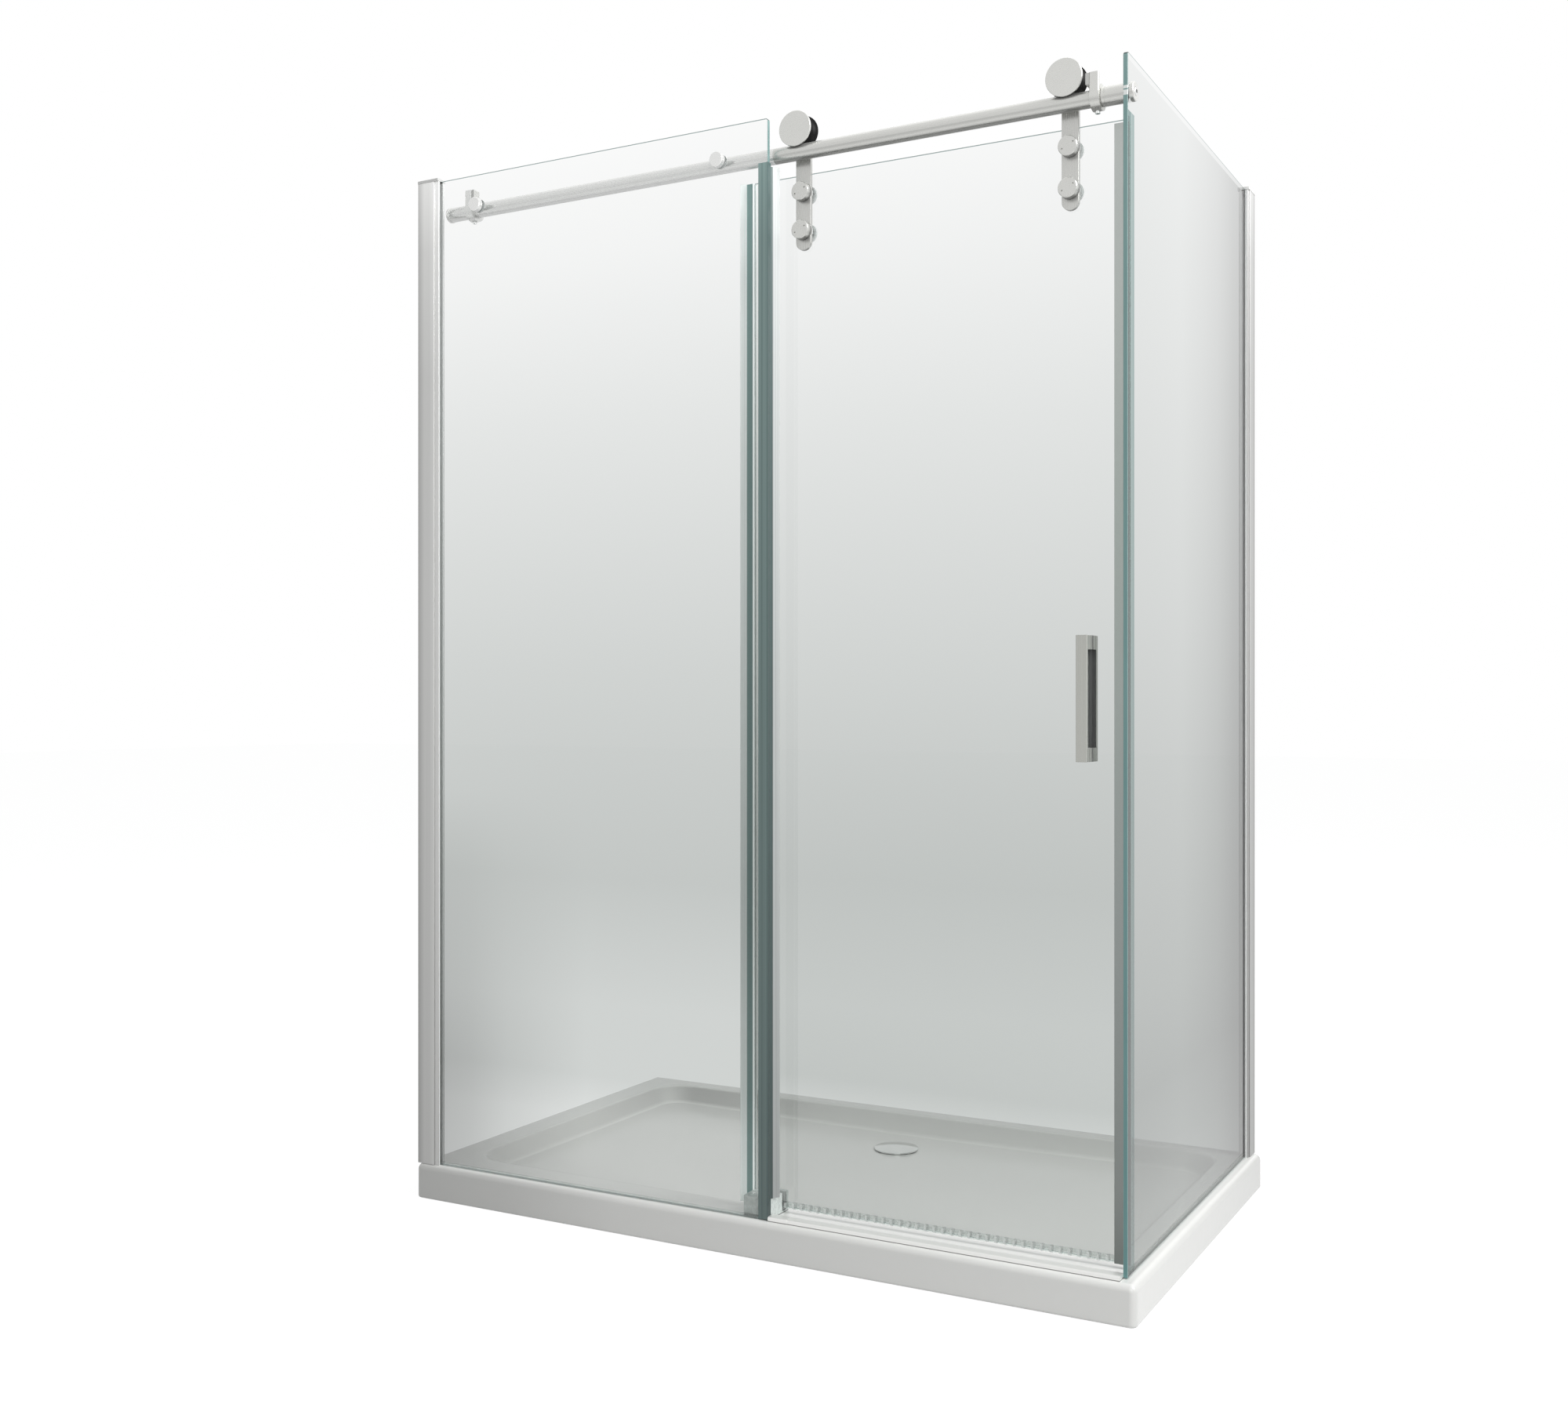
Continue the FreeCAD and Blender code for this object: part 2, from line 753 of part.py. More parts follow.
def sill_strip(start, end, turn, place):
    """A clear channel under a glass: a U in section, drawn along the glass."""
    half = glass_thickness / 2 + glazing_clearance + sill_strip_wall
    inner = glass_thickness / 2 + glazing_clearance
    low = tray_height
    seat = glass_foot
    high = tray_height + sill_strip_grip
    points = [vector(start, y, z) for y, z in (
        (-half, low), (half, low), (half, high), (inner, high),
        (inner, seat), (-inner, seat), (-inner, high), (-half, high))]
    strip = prism(points, x_way, end - start)
    strip.rotate(vector(0, 0, 0), z_way, turn)
    strip.translate(place)
    return strip


def build_standing_glass():
    fixed_xs = (left_x + glass_edge_from_wall, fixed_right_x)
    fixed = glass_panel(fixed_xs, (fixed_front_y, fixed_back_y), (glass_foot, glass_top), 1, [(1, 1)])
    for x in clamp_xs:
        fixed = fixed.cut(rod(vector(x, fixed_front_y - overrun, rail_height), y_way,
                              glass_thickness + overrun * 2, clamp_hole_radius))
    save("fixed_glass", fixed)

    side_ys = (side_front_y, back_y - glass_edge_from_wall)
    side = glass_panel((side_inner_x, side_outer_x), side_ys, (glass_foot, glass_top), 0, [(0, 1)])
    bush_hole = flange_bush_radius + flange_hole_clearance
    side = side.cut(rod(vector(side_inner_x - overrun, rail_y, rail_height), x_way,
                        glass_thickness + overrun * 2, bush_hole))
    save("side_glass", side)

    profile_end = glass_channel_reach + seal_end_gap
    strip_end = fixed_right_x - edge_seal_grip - seal_end_gap
    save("fixed_glass_sill_strip", sill_strip(left_x + profile_end, strip_end, 0,
                                              vector(0, fixed_mid_y, 0)))
    strip_start = front_y + threshold_setback + threshold_width + threshold_end_proud + threshold_gap
    run = back_y - profile_end - strip_start
    save("side_glass_sill_strip", sill_strip(0, run, 90, vector(side_mid_x, strip_start, 0)))


def edge_clip(edge_x, outward, mid_y, grip, heights):
    """The body of a seal that is pushed over an upright glass edge. Outward is 1 or -1 along X.

    It gives the solid and the place of its outer face.
    """
    inside = glass_thickness / 2 + seal_clearance
    outside = inside + seal_wall
    grip_x = edge_x - outward * grip
    web_x = edge_x + outward * seal_clearance
    end_x = web_x + outward * seal_wall
    clip = upright([
        (grip_x, mid_y - outside), (end_x, mid_y - outside), (end_x, mid_y + outside),
        (grip_x, mid_y + outside), (grip_x, mid_y + inside), (web_x, mid_y + inside),
        (web_x, mid_y - inside), (grip_x, mid_y - inside),
    ], heights[0], heights[1])
    return clip, end_x


def build_edge_seal():
    """The clear seal on the free edge of the fixed glass, with a fin towards the door."""
    seal_top = rail_height - rail_radius - edge_seal_rail_gap
    clip, end_x = edge_clip(fixed_right_x, 1, fixed_mid_y, edge_seal_grip, (glass_foot, seal_top))
    root_x = end_x - edge_seal_fin_inset
    root_y = fixed_mid_y + glass_thickness / 2 + seal_clearance + seal_wall
    tip_x = root_x + edge_seal_fin_lean
    tip_y = root_y + edge_seal_fin_reach
    fin = upright([
        (root_x - seal_wall, root_y - seal_wall / 2), (root_x, root_y - seal_wall / 2),
        (root_x, root_y), (tip_x, tip_y), (tip_x - seal_wall, tip_y), (root_x - seal_wall, root_y),
    ], guide_top + edge_seal_fin_gap, seal_top - edge_seal_fin_drop)
    save("fixed_glass_edge_seal", joined([clip, fin]))


# Rail

def across_rail(x, start_y, length, radius, height=rail_height):
    """A rod along Y, from front to back, through the rail's height unless another is given."""
    return rod(vector(x, start_y, height), y_way, length, radius)


def build_rail():
    start_x = left_x + rail_start
    rail_end = collar_start_x + collar_socket_depth - rail_end_gap
    rail = ring(vector(start_x, rail_y, rail_height), x_way, rail_end - start_x,
                rail_radius, rail_radius - rail_wall)
    for x in clamp_xs:
        rail = rail.cut(across_rail(x, rail_y - rail_radius - overrun, rail_radius,
                                    clamp_stud_radius + bolt_clearance))
    save("guide_rail", rail)

    plug_radius = rail_radius - rail_wall - rail_plug_clearance
    cap = turned([
        (0, -rail_cap_length), (rail_cap_radius - knob_edge_round, -rail_cap_length),
        (rail_cap_radius, -rail_cap_length + knob_edge_round), (rail_cap_radius, 0),
        (plug_radius, 0), (plug_radius, rail_plug_length), (0, rail_plug_length),
    ], vector(start_x, rail_y, rail_height), x_way)
    save("rail_end_cap", cap)

    groove_start = collar_groove_from_end
    groove_end = groove_start + collar_groove_width
    bore = rail_radius + collar_fit
    thread = flange_bolt_radius + bolt_clearance
    save("rail_collar", turned([
        (bore, 0), (collar_radius - knob_edge_round, 0), (collar_radius, knob_edge_round),
        (collar_radius, groove_start), (collar_radius - collar_groove_depth, groove_start),
        (collar_radius - collar_groove_depth, groove_end), (collar_radius, groove_end),
        (collar_radius, collar_length), (thread, collar_length),
        (thread, collar_socket_depth), (bore, collar_socket_depth),
    ], vector(collar_start_x, rail_y, rail_height), x_way))

    washer_reach = collar_radius - collar_groove_depth
    inner_bush = turned([
        (thread, -flange_washer_thickness), (washer_reach, -flange_washer_thickness), (washer_reach, 0),
        (flange_bush_radius, 0), (flange_bush_radius, glass_thickness), (thread, glass_thickness),
    ], vector(side_inner_x, rail_y, rail_height), x_way)
    outer_washer = ring(vector(side_outer_x, rail_y, rail_height), x_way,
                        flange_washer_thickness, washer_reach, thread)
    save("rail_glass_bushes", inner_bush, outer_washer)

    seat_x = side_outer_x + flange_washer_thickness
    head_bore = flange_bolt_head_radius + outer_flange_bore_clearance
    head_seat = outer_flange_length - outer_flange_counterbore
    save("rail_outer_flange", turned([
        (thread, 0), (collar_radius - outer_flange_chamfer / 2, 0),
        (collar_radius, outer_flange_chamfer / 2),
        (collar_radius, outer_flange_length - outer_flange_chamfer),
        (collar_radius - outer_flange_chamfer, outer_flange_length), (head_bore, outer_flange_length),
        (head_bore, head_seat), (thread, head_seat),
    ], vector(seat_x, rail_y, rail_height), x_way))

    head_x = seat_x + head_seat
    shank_start = side_inner_x - flange_washer_thickness - bolt_engagement
    shank = rod(vector(shank_start, rail_y, rail_height), x_way, head_x - shank_start, flange_bolt_radius)
    head = chamfered_rod(vector(head_x, rail_y, rail_height), x_way, flange_bolt_head_length,
                         flange_bolt_head_radius, flange_bolt_head_chamfer)
    socket = hexagon(vector(head_x + flange_bolt_head_length - flange_bolt_socket_depth, rail_y,
                            rail_height), x_way, flange_bolt_socket_depth + overrun, flange_bolt_socket)
    save("rail_flange_bolt", joined([shank, head]).cut(socket))


def hexagon(start, way, length, flat_radius):
    """A six-sided prism. The radius is the distance from the axis to a flat."""
    corner = flat_radius / math.cos(math.pi / 6)
    points = []
    for step in range(6):
        turn = math.pi / 3 * step
        points.append(vector(math.cos(turn) * corner, math.sin(turn) * corner, 0))
    solid = prism(points, z_way, length)
    solid.Placement = FreeCAD.Placement(start, FreeCAD.Rotation(z_way, way))
    return solid


def build_rail_clamps():
    """A knob in front of the fixed glass and a standoff behind it, for each clamp."""
    knobs = []
    standoffs = []
    washers = []
    knob_front = fixed_front_y - clamp_washer_thickness - clamp_knob_thickness
    hole = clamp_stud_radius + bolt_clearance
    for x in clamp_xs:
        at = vector(x, knob_front, rail_height)
        blind = clamp_knob_thickness - clamp_stud_depth
        knobs.append(turned([
            (0, 0), (clamp_knob_radius - knob_edge_round, 0), (clamp_knob_radius, knob_edge_round),
            (clamp_knob_radius, clamp_knob_thickness), (hole, clamp_knob_thickness), (hole, blind),
            (0, blind),
        ], at, y_way))

        body_start = fixed_back_y + clamp_washer_thickness
        body = across_rail(x, body_start, rail_y - body_start, clamp_standoff_radius)
        saddle = rod(vector(x - clamp_knob_radius, rail_y, rail_height), x_way,
                     clamp_knob_radius * 2, rail_radius)
        stud_start = knob_front + blind + stud_end_gap
        stud_end = rail_y - rail_radius + clamp_stud_reach
        stud = across_rail(x, stud_start, stud_end - stud_start, clamp_stud_radius)
        standoffs.append(joined([body.cut(saddle), stud]))

        front = ring(vector(x, fixed_front_y - clamp_washer_thickness, rail_height), y_way,
                     clamp_washer_thickness, clamp_washer_radius, hole)
        sleeve_radius = clamp_hole_radius - bolt_clearance
        back = turned([
            (hole, 0), (sleeve_radius, 0), (sleeve_radius, glass_thickness),
            (clamp_washer_radius, glass_thickness),
            (clamp_washer_radius, glass_thickness + clamp_washer_thickness),
            (hole, glass_thickness + clamp_washer_thickness),
        ], vector(x, fixed_front_y, rail_height), y_way)
        washers += [front, back]
    save("rail_clamp_knobs", *knobs)
    save("rail_clamp_standoffs", *standoffs)
    save("rail_clamp_washers", *washers)


def stopper(buffer_x, toward):
    """One stopper: a ring on the rail, an upright arm in front and a buffer that the roller meets.

    The buffer's face is at buffer_x. The stopper lies on the side of it that toward points at.
    """
    near = buffer_x + toward * buffer_reach
    far = near + toward * stopper_width
    xs = (min(near, far), max(near, far))
    bore = rail_radius + collar_fit
    arm_front = rail_y - stopper_ring_radius
    body = ring(vector(xs[0], rail_y, rail_height), x_way, stopper_width, stopper_ring_radius, bore)
    arm = block(xs, (arm_front, arm_front + stopper_arm_thickness), (rail_height, stopper_arm_top))
    arm = rounded(arm, stopper_arm_round, lambda edge: runs_along(edge, z_way))
    bore_space = rod(vector(xs[0] - overrun, rail_y, rail_height), x_way,
                     stopper_width + overrun * 2, bore)
    middle_x = (xs[0] + xs[1]) / 2
    ring_low = rail_height - stopper_ring_radius
    grub_hole = rod(vector(middle_x, rail_y, ring_low - overrun), z_way,
                    stopper_ring_radius, grub_radius + grub_clearance)

    stem_y = arm_front + stopper_arm_thickness / 2
    stem_z = stopper_arm_top - buffer_inset - buffer_height / 2
    stem = rod(vector(near, stem_y, stem_z), x_way * toward, buffer_stem_length, buffer_stem_radius)
    stem_hole = rod(vector(near - toward * overrun, stem_y, stem_z), x_way * toward,
                    buffer_stem_length + overrun + bolt_clearance, buffer_stem_radius + bolt_clearance)
    body = without(joined([body, arm.cut(bore_space)]), [grub_hole, stem_hole])

    buffer_front = arm_front + buffer_inset
    top = stopper_arm_top - buffer_inset
    pad = block((min(buffer_x, near), max(buffer_x, near)), (buffer_front, buffer_front + buffer_depth),
                (top - buffer_height, top))
    pad = rounded(pad, buffer_edge_round, lambda edge: lies_at(edge, 0, buffer_x))

    grub = turned([
        (0, -grub_head_length), (grub_head_radius, -grub_head_length), (grub_head_radius, 0),
        (grub_radius, 0), (grub_radius, stopper_ring_radius - bore), (0, stopper_ring_radius - bore),
    ], vector(middle_x, rail_y, ring_low), z_way)
    grub = grub.cut(rod(vector(middle_x, rail_y, ring_low - grub_head_length - overrun), z_way,
                        grub_socket_depth + overrun, grub_socket_radius))
    return body, joined([pad, stem]), grub


def build_stoppers():
    left_limit = roller_xs[0] - door_travel - roller_cap_radius - stopper_open_gap
    right_limit = roller_xs[1] + roller_cap_radius + stopper_closed_gap
    left_body, left_buffer, left_grub = stopper(left_limit, -1)
    right_body, right_buffer, right_grub = stopper(right_limit, 1)
    save("stopper_left", left_body)
    save("stopper_right", right_body)
    save("stopper_buffers", left_buffer, right_buffer)
    save("stopper_grub_screws", left_grub, right_grub)


# Threshold

def threshold_section(grow, x, length):
    """A length of the threshold's section, made larger or smaller all round by grow."""
    low = tray_height
    high = tray_height + threshold_height + grow
    ys = (front_y + threshold_setback - grow, front_y + threshold_setback + threshold_width + grow)
    bar = block((x, x + length), ys, (low, high))
    bar = rounded(bar, threshold_front_round + grow,
                  lambda edge: lies_at(edge, 1, ys[0]) and lies_at(edge, 2, high))
    return rounded(bar, threshold_back_round + grow,
                   lambda edge: lies_at(edge, 1, ys[1]) and lies_at(edge, 2, high))


def threshold_bore(x, length, clearance):
    """The space inside the hollow bar, or with a clearance the tongue that fits it."""
    step = threshold_wall + clearance
    low = tray_height + step
    high = tray_height + threshold_height - step
    ys = (front_y + threshold_setback + step, front_y + threshold_setback + threshold_width - step)
    bore = block((x, x + length), ys, (low, high))
    return rounded(bore, threshold_front_round - threshold_wall,
                   lambda edge: lies_at(edge, 1, ys[0]) and lies_at(edge, 2, high))


def build_threshold():
    start = fixed_right_x + seal_clearance + seal_wall + threshold_gap
    end = side_inner_x - threshold_gap
    bar_start = start + threshold_end_lengths[0]
    bar_end = end - threshold_end_lengths[1]
    length = bar_end - bar_start
    bar = threshold_section(0, bar_start, length)
    bar = bar.cut(threshold_bore(bar_start - overrun, length + overrun * 2, 0))
    save("threshold_bar", bar)

    ends = []
    for x, size, tongue_x in ((start, threshold_end_lengths[0], bar_start),
                              (bar_end, threshold_end_lengths[1], bar_end - threshold_tongue_length)):
        body = threshold_section(threshold_end_proud, x, size)
        tongue = threshold_bore(tongue_x, threshold_tongue_length, channel_fit_clearance)
        ends.append(joined([body, tongue]))
    save("threshold_end_pieces", *ends)


# Door guide

def build_guide():
    """A block behind the fixed glass with a lined slot for the bottom of the door."""
    xs = (fixed_right_x + guide_overshoot - guide_length, fixed_right_x + guide_overshoot)
    front = fixed_back_y + seal_clearance + seal_wall + guide_front_gap
    half_inner = glass_thickness / 2 + guide_liner_clearance
    half_slot = half_inner + guide_liner_thickness
    ys = (front, door_mid_y + half_slot + guide_back_wall)
    base = tray_height + guide_pad_thickness
    guide = block(xs, ys, (base, guide_top))
    guide = rounded(guide, guide_corner_round, lambda edge: runs_along(edge, z_way))

    passage_floor = tray_height + guide_slot_rise
    slot_floor = passage_floor - guide_liner_thickness
    long_xs = (xs[0] - overrun, xs[1] + overrun)
    slot = block(long_xs, (door_mid_y - half_slot, door_mid_y + half_slot),
                 (slot_floor, guide_top + overrun))
    screws = []
    holes = []
    screw_y = (ys[0] + door_mid_y - half_slot) / 2
    down = vector(0, 0, -1)
    for x in (xs[0] + guide_screw_insets[0], xs[1] - guide_screw_insets[1]):
        at = vector(x, screw_y, guide_top)
        screws.append(countersunk(at, down, guide_screw_length, 0))
        holes.append(countersunk(at, down, guide_rise, lock_screw_clearance))
    save("door_guide_block", without(guide, [slot] + holes))

    liner = block(xs, (door_mid_y - half_slot, door_mid_y + half_slot), (slot_floor, guide_top))
    passage = block(long_xs, (door_mid_y - half_inner, door_mid_y + half_inner),
                    (passage_floor, guide_top + overrun))
    pad = block(xs, ys, (tray_height, base))
    pad = rounded(pad, guide_corner_round, lambda edge: runs_along(edge, z_way))
    save("door_guide_liners", liner.cut(passage), without(pad, holes))

    for height in screw_heights(lock_screw_lowest):
        screws.append(on_front(lock_screw(1, height)))
        screws.append(on_side(lock_screw(-1, height)))
    save("countersunk_screws", *screws)


# Sliding door

def build_door_glass():
    glass = glass_panel((door_left_x, door_right_x), (door_front_y, door_back_y),
                        (door_glass_bottom, door_glass_top), 1, [(0, 0), (0, 1), (1, 0), (1, 1)])
    start_y = door_front_y - overrun
    length = glass_thickness + overrun * 2
    for x in roller_xs:
        for height in strap_knob_heights:
            hole = strap_bush_radius + bolt_clearance
            glass = glass.cut(rod(vector(x, start_y, height), y_way, length, hole))
    for height in handle_screw_heights():
        glass = glass.cut(rod(vector(handle_mid_x, start_y, height), y_way, length,
                              handle_glass_hole_radius))
    save("door_glass", glass)


def build_door_seals():
    inside = glass_thickness / 2 + seal_clearance
    outside = inside + seal_wall

    clip, end_x = edge_clip(door_left_x, -1, door_mid_y, door_seal_grip,
                            (door_glass_bottom, door_glass_top))
    root_y = door_mid_y - inside
    tip_x = end_x - door_seal_fin_reach
    tip_y = root_y - door_seal_fin_lean
    fin = upright([
        (end_x + seal_wall / 2, root_y), (end_x + seal_wall / 2, root_y - seal_wall),
        (tip_x, tip_y), (tip_x - seal_wall / 2, tip_y + seal_wall / 2), (end_x, root_y + seal_wall / 2),
    ], door_glass_bottom, door_glass_top)
    save("door_edge_seal", joined([clip, fin]))

    closing_zs = (door_glass_bottom - closing_seal_foot_drop, door_glass_top - closing_seal_top_inset)
    clip, end_x = edge_clip(door_right_x, 1, door_mid_y, closing_seal_grip, closing_zs)
    bulb_x = end_x + closing_bulb_radius - closing_bulb_wall
    bulb = ring(vector(bulb_x, door_mid_y, closing_zs[0]), z_way, closing_zs[1] - closing_zs[0],
                closing_bulb_radius, closing_bulb_radius - closing_bulb_wall)
    bulb = bulb.cut(block((door_left_x, end_x), (door_front_y, door_back_y), closing_zs))
    save("door_closing_seal", joined([clip, bulb]))

    strip_xs = (door_left_x + door_seal_grip + seal_end_gap,
                door_right_x - closing_seal_grip - seal_end_gap)
    web_z = door_glass_bottom - seal_clearance
    low_z = web_z - seal_wall
    high_z = door_glass_bottom + bottom_seal_grip
    lip_half = seal_wall / 2
    lip_z = low_z - bottom_seal_lip
    section = [
        (-outside, low_z), (-lip_half, low_z), (-lip_half, lip_z), (lip_half, lip_z), (lip_half, low_z),
        (outside, low_z), (outside, high_z), (inside, high_z), (inside, web_z),
        (-inside, web_z), (-inside, high_z), (-outside, high_z),
    ]
    points = [vector(strip_xs[0], door_mid_y + y, z) for y, z in section]
    save("door_bottom_seal", prism(points, x_way, strip_xs[1] - strip_xs[0]))


def hanger_strap(x):
    """A flat strap with round ends: the roller's axle at the top, two glass fixings below."""
    half = strap_width / 2
    body = block((x - half, x + half), (strap_front_y, strap_back_y),
                 (strap_arc_height, roller_axis_height))
    ends = [rod(vector(x, strap_front_y, height), y_way, strap_thickness, half)
            for height in (strap_arc_height, roller_axis_height)]
    strap = joined([body] + ends)
    rim = [edge for edge in strap.Edges
           if lies_at(edge, 1, strap_front_y) or lies_at(edge, 1, strap_back_y)]
    strap = strap.makeChamfer(strap_edge_chamfer, rim)
    length = strap_thickness + overrun * 2
    start_y = strap_front_y - overrun
    hole = strap_stud_radius + bolt_clearance
    heights = [roller_axis_height] + strap_knob_heights
    return without(strap, [rod(vector(x, start_y, height), y_way, length, hole) for height in heights])


def build_straps():
    for side, x in zip(("left", "right"), roller_xs):
        save("hanger_strap_" + side, hanger_strap(x))

    knobs = []
    discs = []
    studs = []
    bushes = []
    knob_front = strap_front_y - strap_knob_thickness
    hole = strap_stud_radius + bolt_clearance
    blind = strap_knob_thickness - strap_stud_depth
    disc_front = door_back_y + back_washer_thickness
    pin_x = math.cos(strap_pin_hole_turn) * strap_pin_hole_reach
    pin_z = math.sin(strap_pin_hole_turn) * strap_pin_hole_reach
    for x in roller_xs:
        for height in strap_knob_heights:
            knob = turned([
                (0, 0), (strap_knob_radius - knob_edge_round, 0), (strap_knob_radius, knob_edge_round),
                (strap_knob_radius, strap_knob_thickness), (hole, strap_knob_thickness), (hole, blind),
                (0, blind),
            ], vector(x, knob_front, height), y_way)
            pins = [rod(vector(x + side * pin_x, knob_front - overrun, height + side * pin_z), y_way,
                        strap_pin_hole_depth + overrun, strap_pin_hole_radius)
                    for side in (-1, 1)]
            knobs.append(without(knob, pins))

            discs.append(turned([
                (0, strap_disc_stud_depth), (hole, strap_disc_stud_depth), (hole, 0),
                (strap_knob_radius, 0), (strap_knob_radius, strap_disc_thickness - knob_edge_round),
                (strap_knob_radius - knob_edge_round, strap_disc_thickness), (0, strap_disc_thickness),
            ], vector(x, disc_front, height), y_way))

            stud_start = knob_front + blind + stud_end_gap
            stud_end = disc_front + strap_disc_stud_depth - stud_end_gap
            studs.append(rod(vector(x, stud_start, height), y_way, stud_end - stud_start,
                             strap_stud_radius))

            bushes.append(turned([
                (hole, -strap_glass_gap), (strap_washer_radius, -strap_glass_gap), (strap_washer_radius, 0),
                (strap_bush_radius, 0), (strap_bush_radius, glass_thickness), (hole, glass_thickness),
            ], vector(x, door_front_y, height), y_way))
            bushes.append(ring(vector(x, door_back_y, height), y_way, back_washer_thickness,
                               strap_washer_radius, hole))
    save("strap_knobs", *knobs)
    save("strap_back_discs", *discs)
    save("strap_studs", *studs)
    save("strap_glass_bushes", *bushes)


# Rollers

def grooved_wheel(x):
    """A black wheel whose round groove wraps the rail, with a web and a hub for the bearing."""
    half = roller_width / 2
    half_web = roller_web_width / 2
    half_bearing = bearing_width / 2
    seat = bearing_radius + bearing_seat_clearance
    lip = bearing_radius - roller_bearing_lip
    rim_inner = roller_tread_radius - roller_rim_thickness
    groove_radius = rail_radius + roller_running_gap
    mouth = math.sqrt(groove_radius ** 2 - (roller_rise - roller_flange_radius) ** 2)

    def at(radius, along):
        return vector(radius, 0, along)

    groove = Part.Arc(at(roller_flange_radius, -mouth), at(roller_tread_radius, 0),
                      at(roller_flange_radius, mouth)).toShape()
    outline = Part.makePolygon([
        at(roller_flange_radius, mouth), at(roller_flange_radius, half), at(rim_inner, half),
        at(rim_inner, half_web), at(seat, half_web), at(seat, -half_bearing),
        at(lip, -half_bearing), at(lip, -half_web), at(rim_inner, -half_web),
        at(rim_inner, -half), at(roller_flange_radius, -half), at(roller_flange_radius, -mouth),
    ])
    wheel = Part.Face(Part.Wire([groove] + outline.Edges)).revolve(vector(0, 0, 0), z_way, 360)
    wheel.Placement = FreeCAD.Placement(vector(x, rail_y, roller_axis_height),
                                        FreeCAD.Rotation(z_way, vector(0, -1, 0)))
    return wheel


def roller_bearing(x):
    """A ball bearing seen from outside: two races with a shield set in between them."""
    bore = axle_radius + axle_running_clearance
    race = (bearing_radius - bore) * bearing_race_share
    deep = bearing_groove_depth
    return turned([
        (bore, 0), (bore + race, 0), (bore + race, deep), (bearing_radius - race, deep),
        (bearing_radius - race, 0), (bearing_radius, 0), (bearing_radius, bearing_width),
        (bearing_radius - race, bearing_width), (bearing_radius - race, bearing_width - deep),
        (bore + race, bearing_width - deep), (bore + race, bearing_width), (bore, bearing_width),
    ], vector(x, rail_y - bearing_width / 2, roller_axis_height), y_way)


def roller_cap(x):
    """The flat steel disc on the front of a wheel, with a boss that snaps on the hub."""
    front = rail_y - roller_width / 2 - roller_cap_gap - roller_cap_thickness
    hub_face = rail_y - roller_web_width / 2
    reach = hub_face - front
    inner = roller_cap_boss_radius - roller_cap_boss_wall
    cap = turned([
        (0, 0), (roller_cap_radius - roller_cap_edge_round, 0),
        (roller_cap_radius, roller_cap_edge_round), (roller_cap_radius, roller_cap_thickness),
        (roller_cap_boss_radius, roller_cap_thickness), (roller_cap_boss_radius, reach),
        (inner, reach), (inner, roller_cap_thickness), (0, roller_cap_thickness),
    ], vector(x, front, roller_axis_height), y_way)
    return cap


def build_rollers():
    axles = []
    spacers = []
    nuts = []
    bearing_front = rail_y - bearing_width / 2
    bearing_back = rail_y + bearing_width / 2
    head_back = bearing_front - bearing_axial_gap
    for side, x in zip(("left", "right"), roller_xs):
        save("roller_wheel_" + side, grooved_wheel(x))
        save("roller_bearing_" + side, roller_bearing(x))
        save("roller_cap_" + side, roller_cap(x))

        axle_end = strap_back_y + nut_thickness + knob_edge_round
        head = chamfered_rod(vector(x, head_back, roller_axis_height), vector(0, -1, 0),
                             axle_head_length, axle_head_radius, roller_cap_edge_round)
        head_front = head_back - axle_head_length
        socket = hexagon(vector(x, head_front - overrun, roller_axis_height), y_way,
                         axle_socket_depth + overrun, axle_socket_radius)
        shank = rod(vector(x, head_back, roller_axis_height), y_way, axle_end - head_back, axle_radius)
        axles.append(joined([head, shank]).cut(socket))

        spacer_start = bearing_back + bearing_axial_gap
        spacers.append(ring(vector(x, spacer_start, roller_axis_height), y_way,
                            strap_front_y - spacer_start, spacer_radius, axle_radius + bolt_clearance))
        nut = hexagon(vector(x, strap_back_y, roller_axis_height), y_way, nut_thickness, nut_radius)
        bore = rod(vector(x, strap_back_y - overrun, roller_axis_height), y_way,
                   nut_thickness + overrun * 2, axle_radius + bolt_clearance)
        nuts.append(nut.cut(bore))
    save("roller_axles", *axles)
    save("roller_spacers", *spacers)
    save("axle_nuts", *nuts)


# Handle

def handle_screw_heights():
    low = handle_bottom + handle_screw_inset
    return (low, low + handle_length - handle_screw_inset * 2)


def handle_half(glass_y, away, pocket_width):
    """One half of the handle, with a finger pocket next to the glass. Away points off the glass."""
    xs = (handle_x, handle_x + handle_width)
    outer_y = glass_y + away * handle_depth
    ys = (min(glass_y, outer_y), max(glass_y, outer_y))
    zs = (handle_bottom, handle_bottom + handle_length)
    half = block(xs, ys, zs)
    half = rounded(half, handle_edge_round, lambda edge: not lies_at(edge, 1, glass_y))
    pocket_y = glass_y + away * pocket_width
    past_y = glass_y - away * overrun * 2
    margin = (handle_length - handle_pocket_length) / 2
    pocket = block((xs[1] - handle_pocket_depth, xs[1] + overrun),
                   (min(pocket_y, past_y), max(pocket_y, past_y)), (zs[0] + margin, zs[1] - margin))
    pocket = rounded(pocket, handle_pocket_round,
                     lambda edge: runs_along(edge, z_way)
                     and lies_at(edge, 1, pocket_y) and lies_at(edge, 0, xs[1] - handle_pocket_depth))
    return half.cut(pocket)


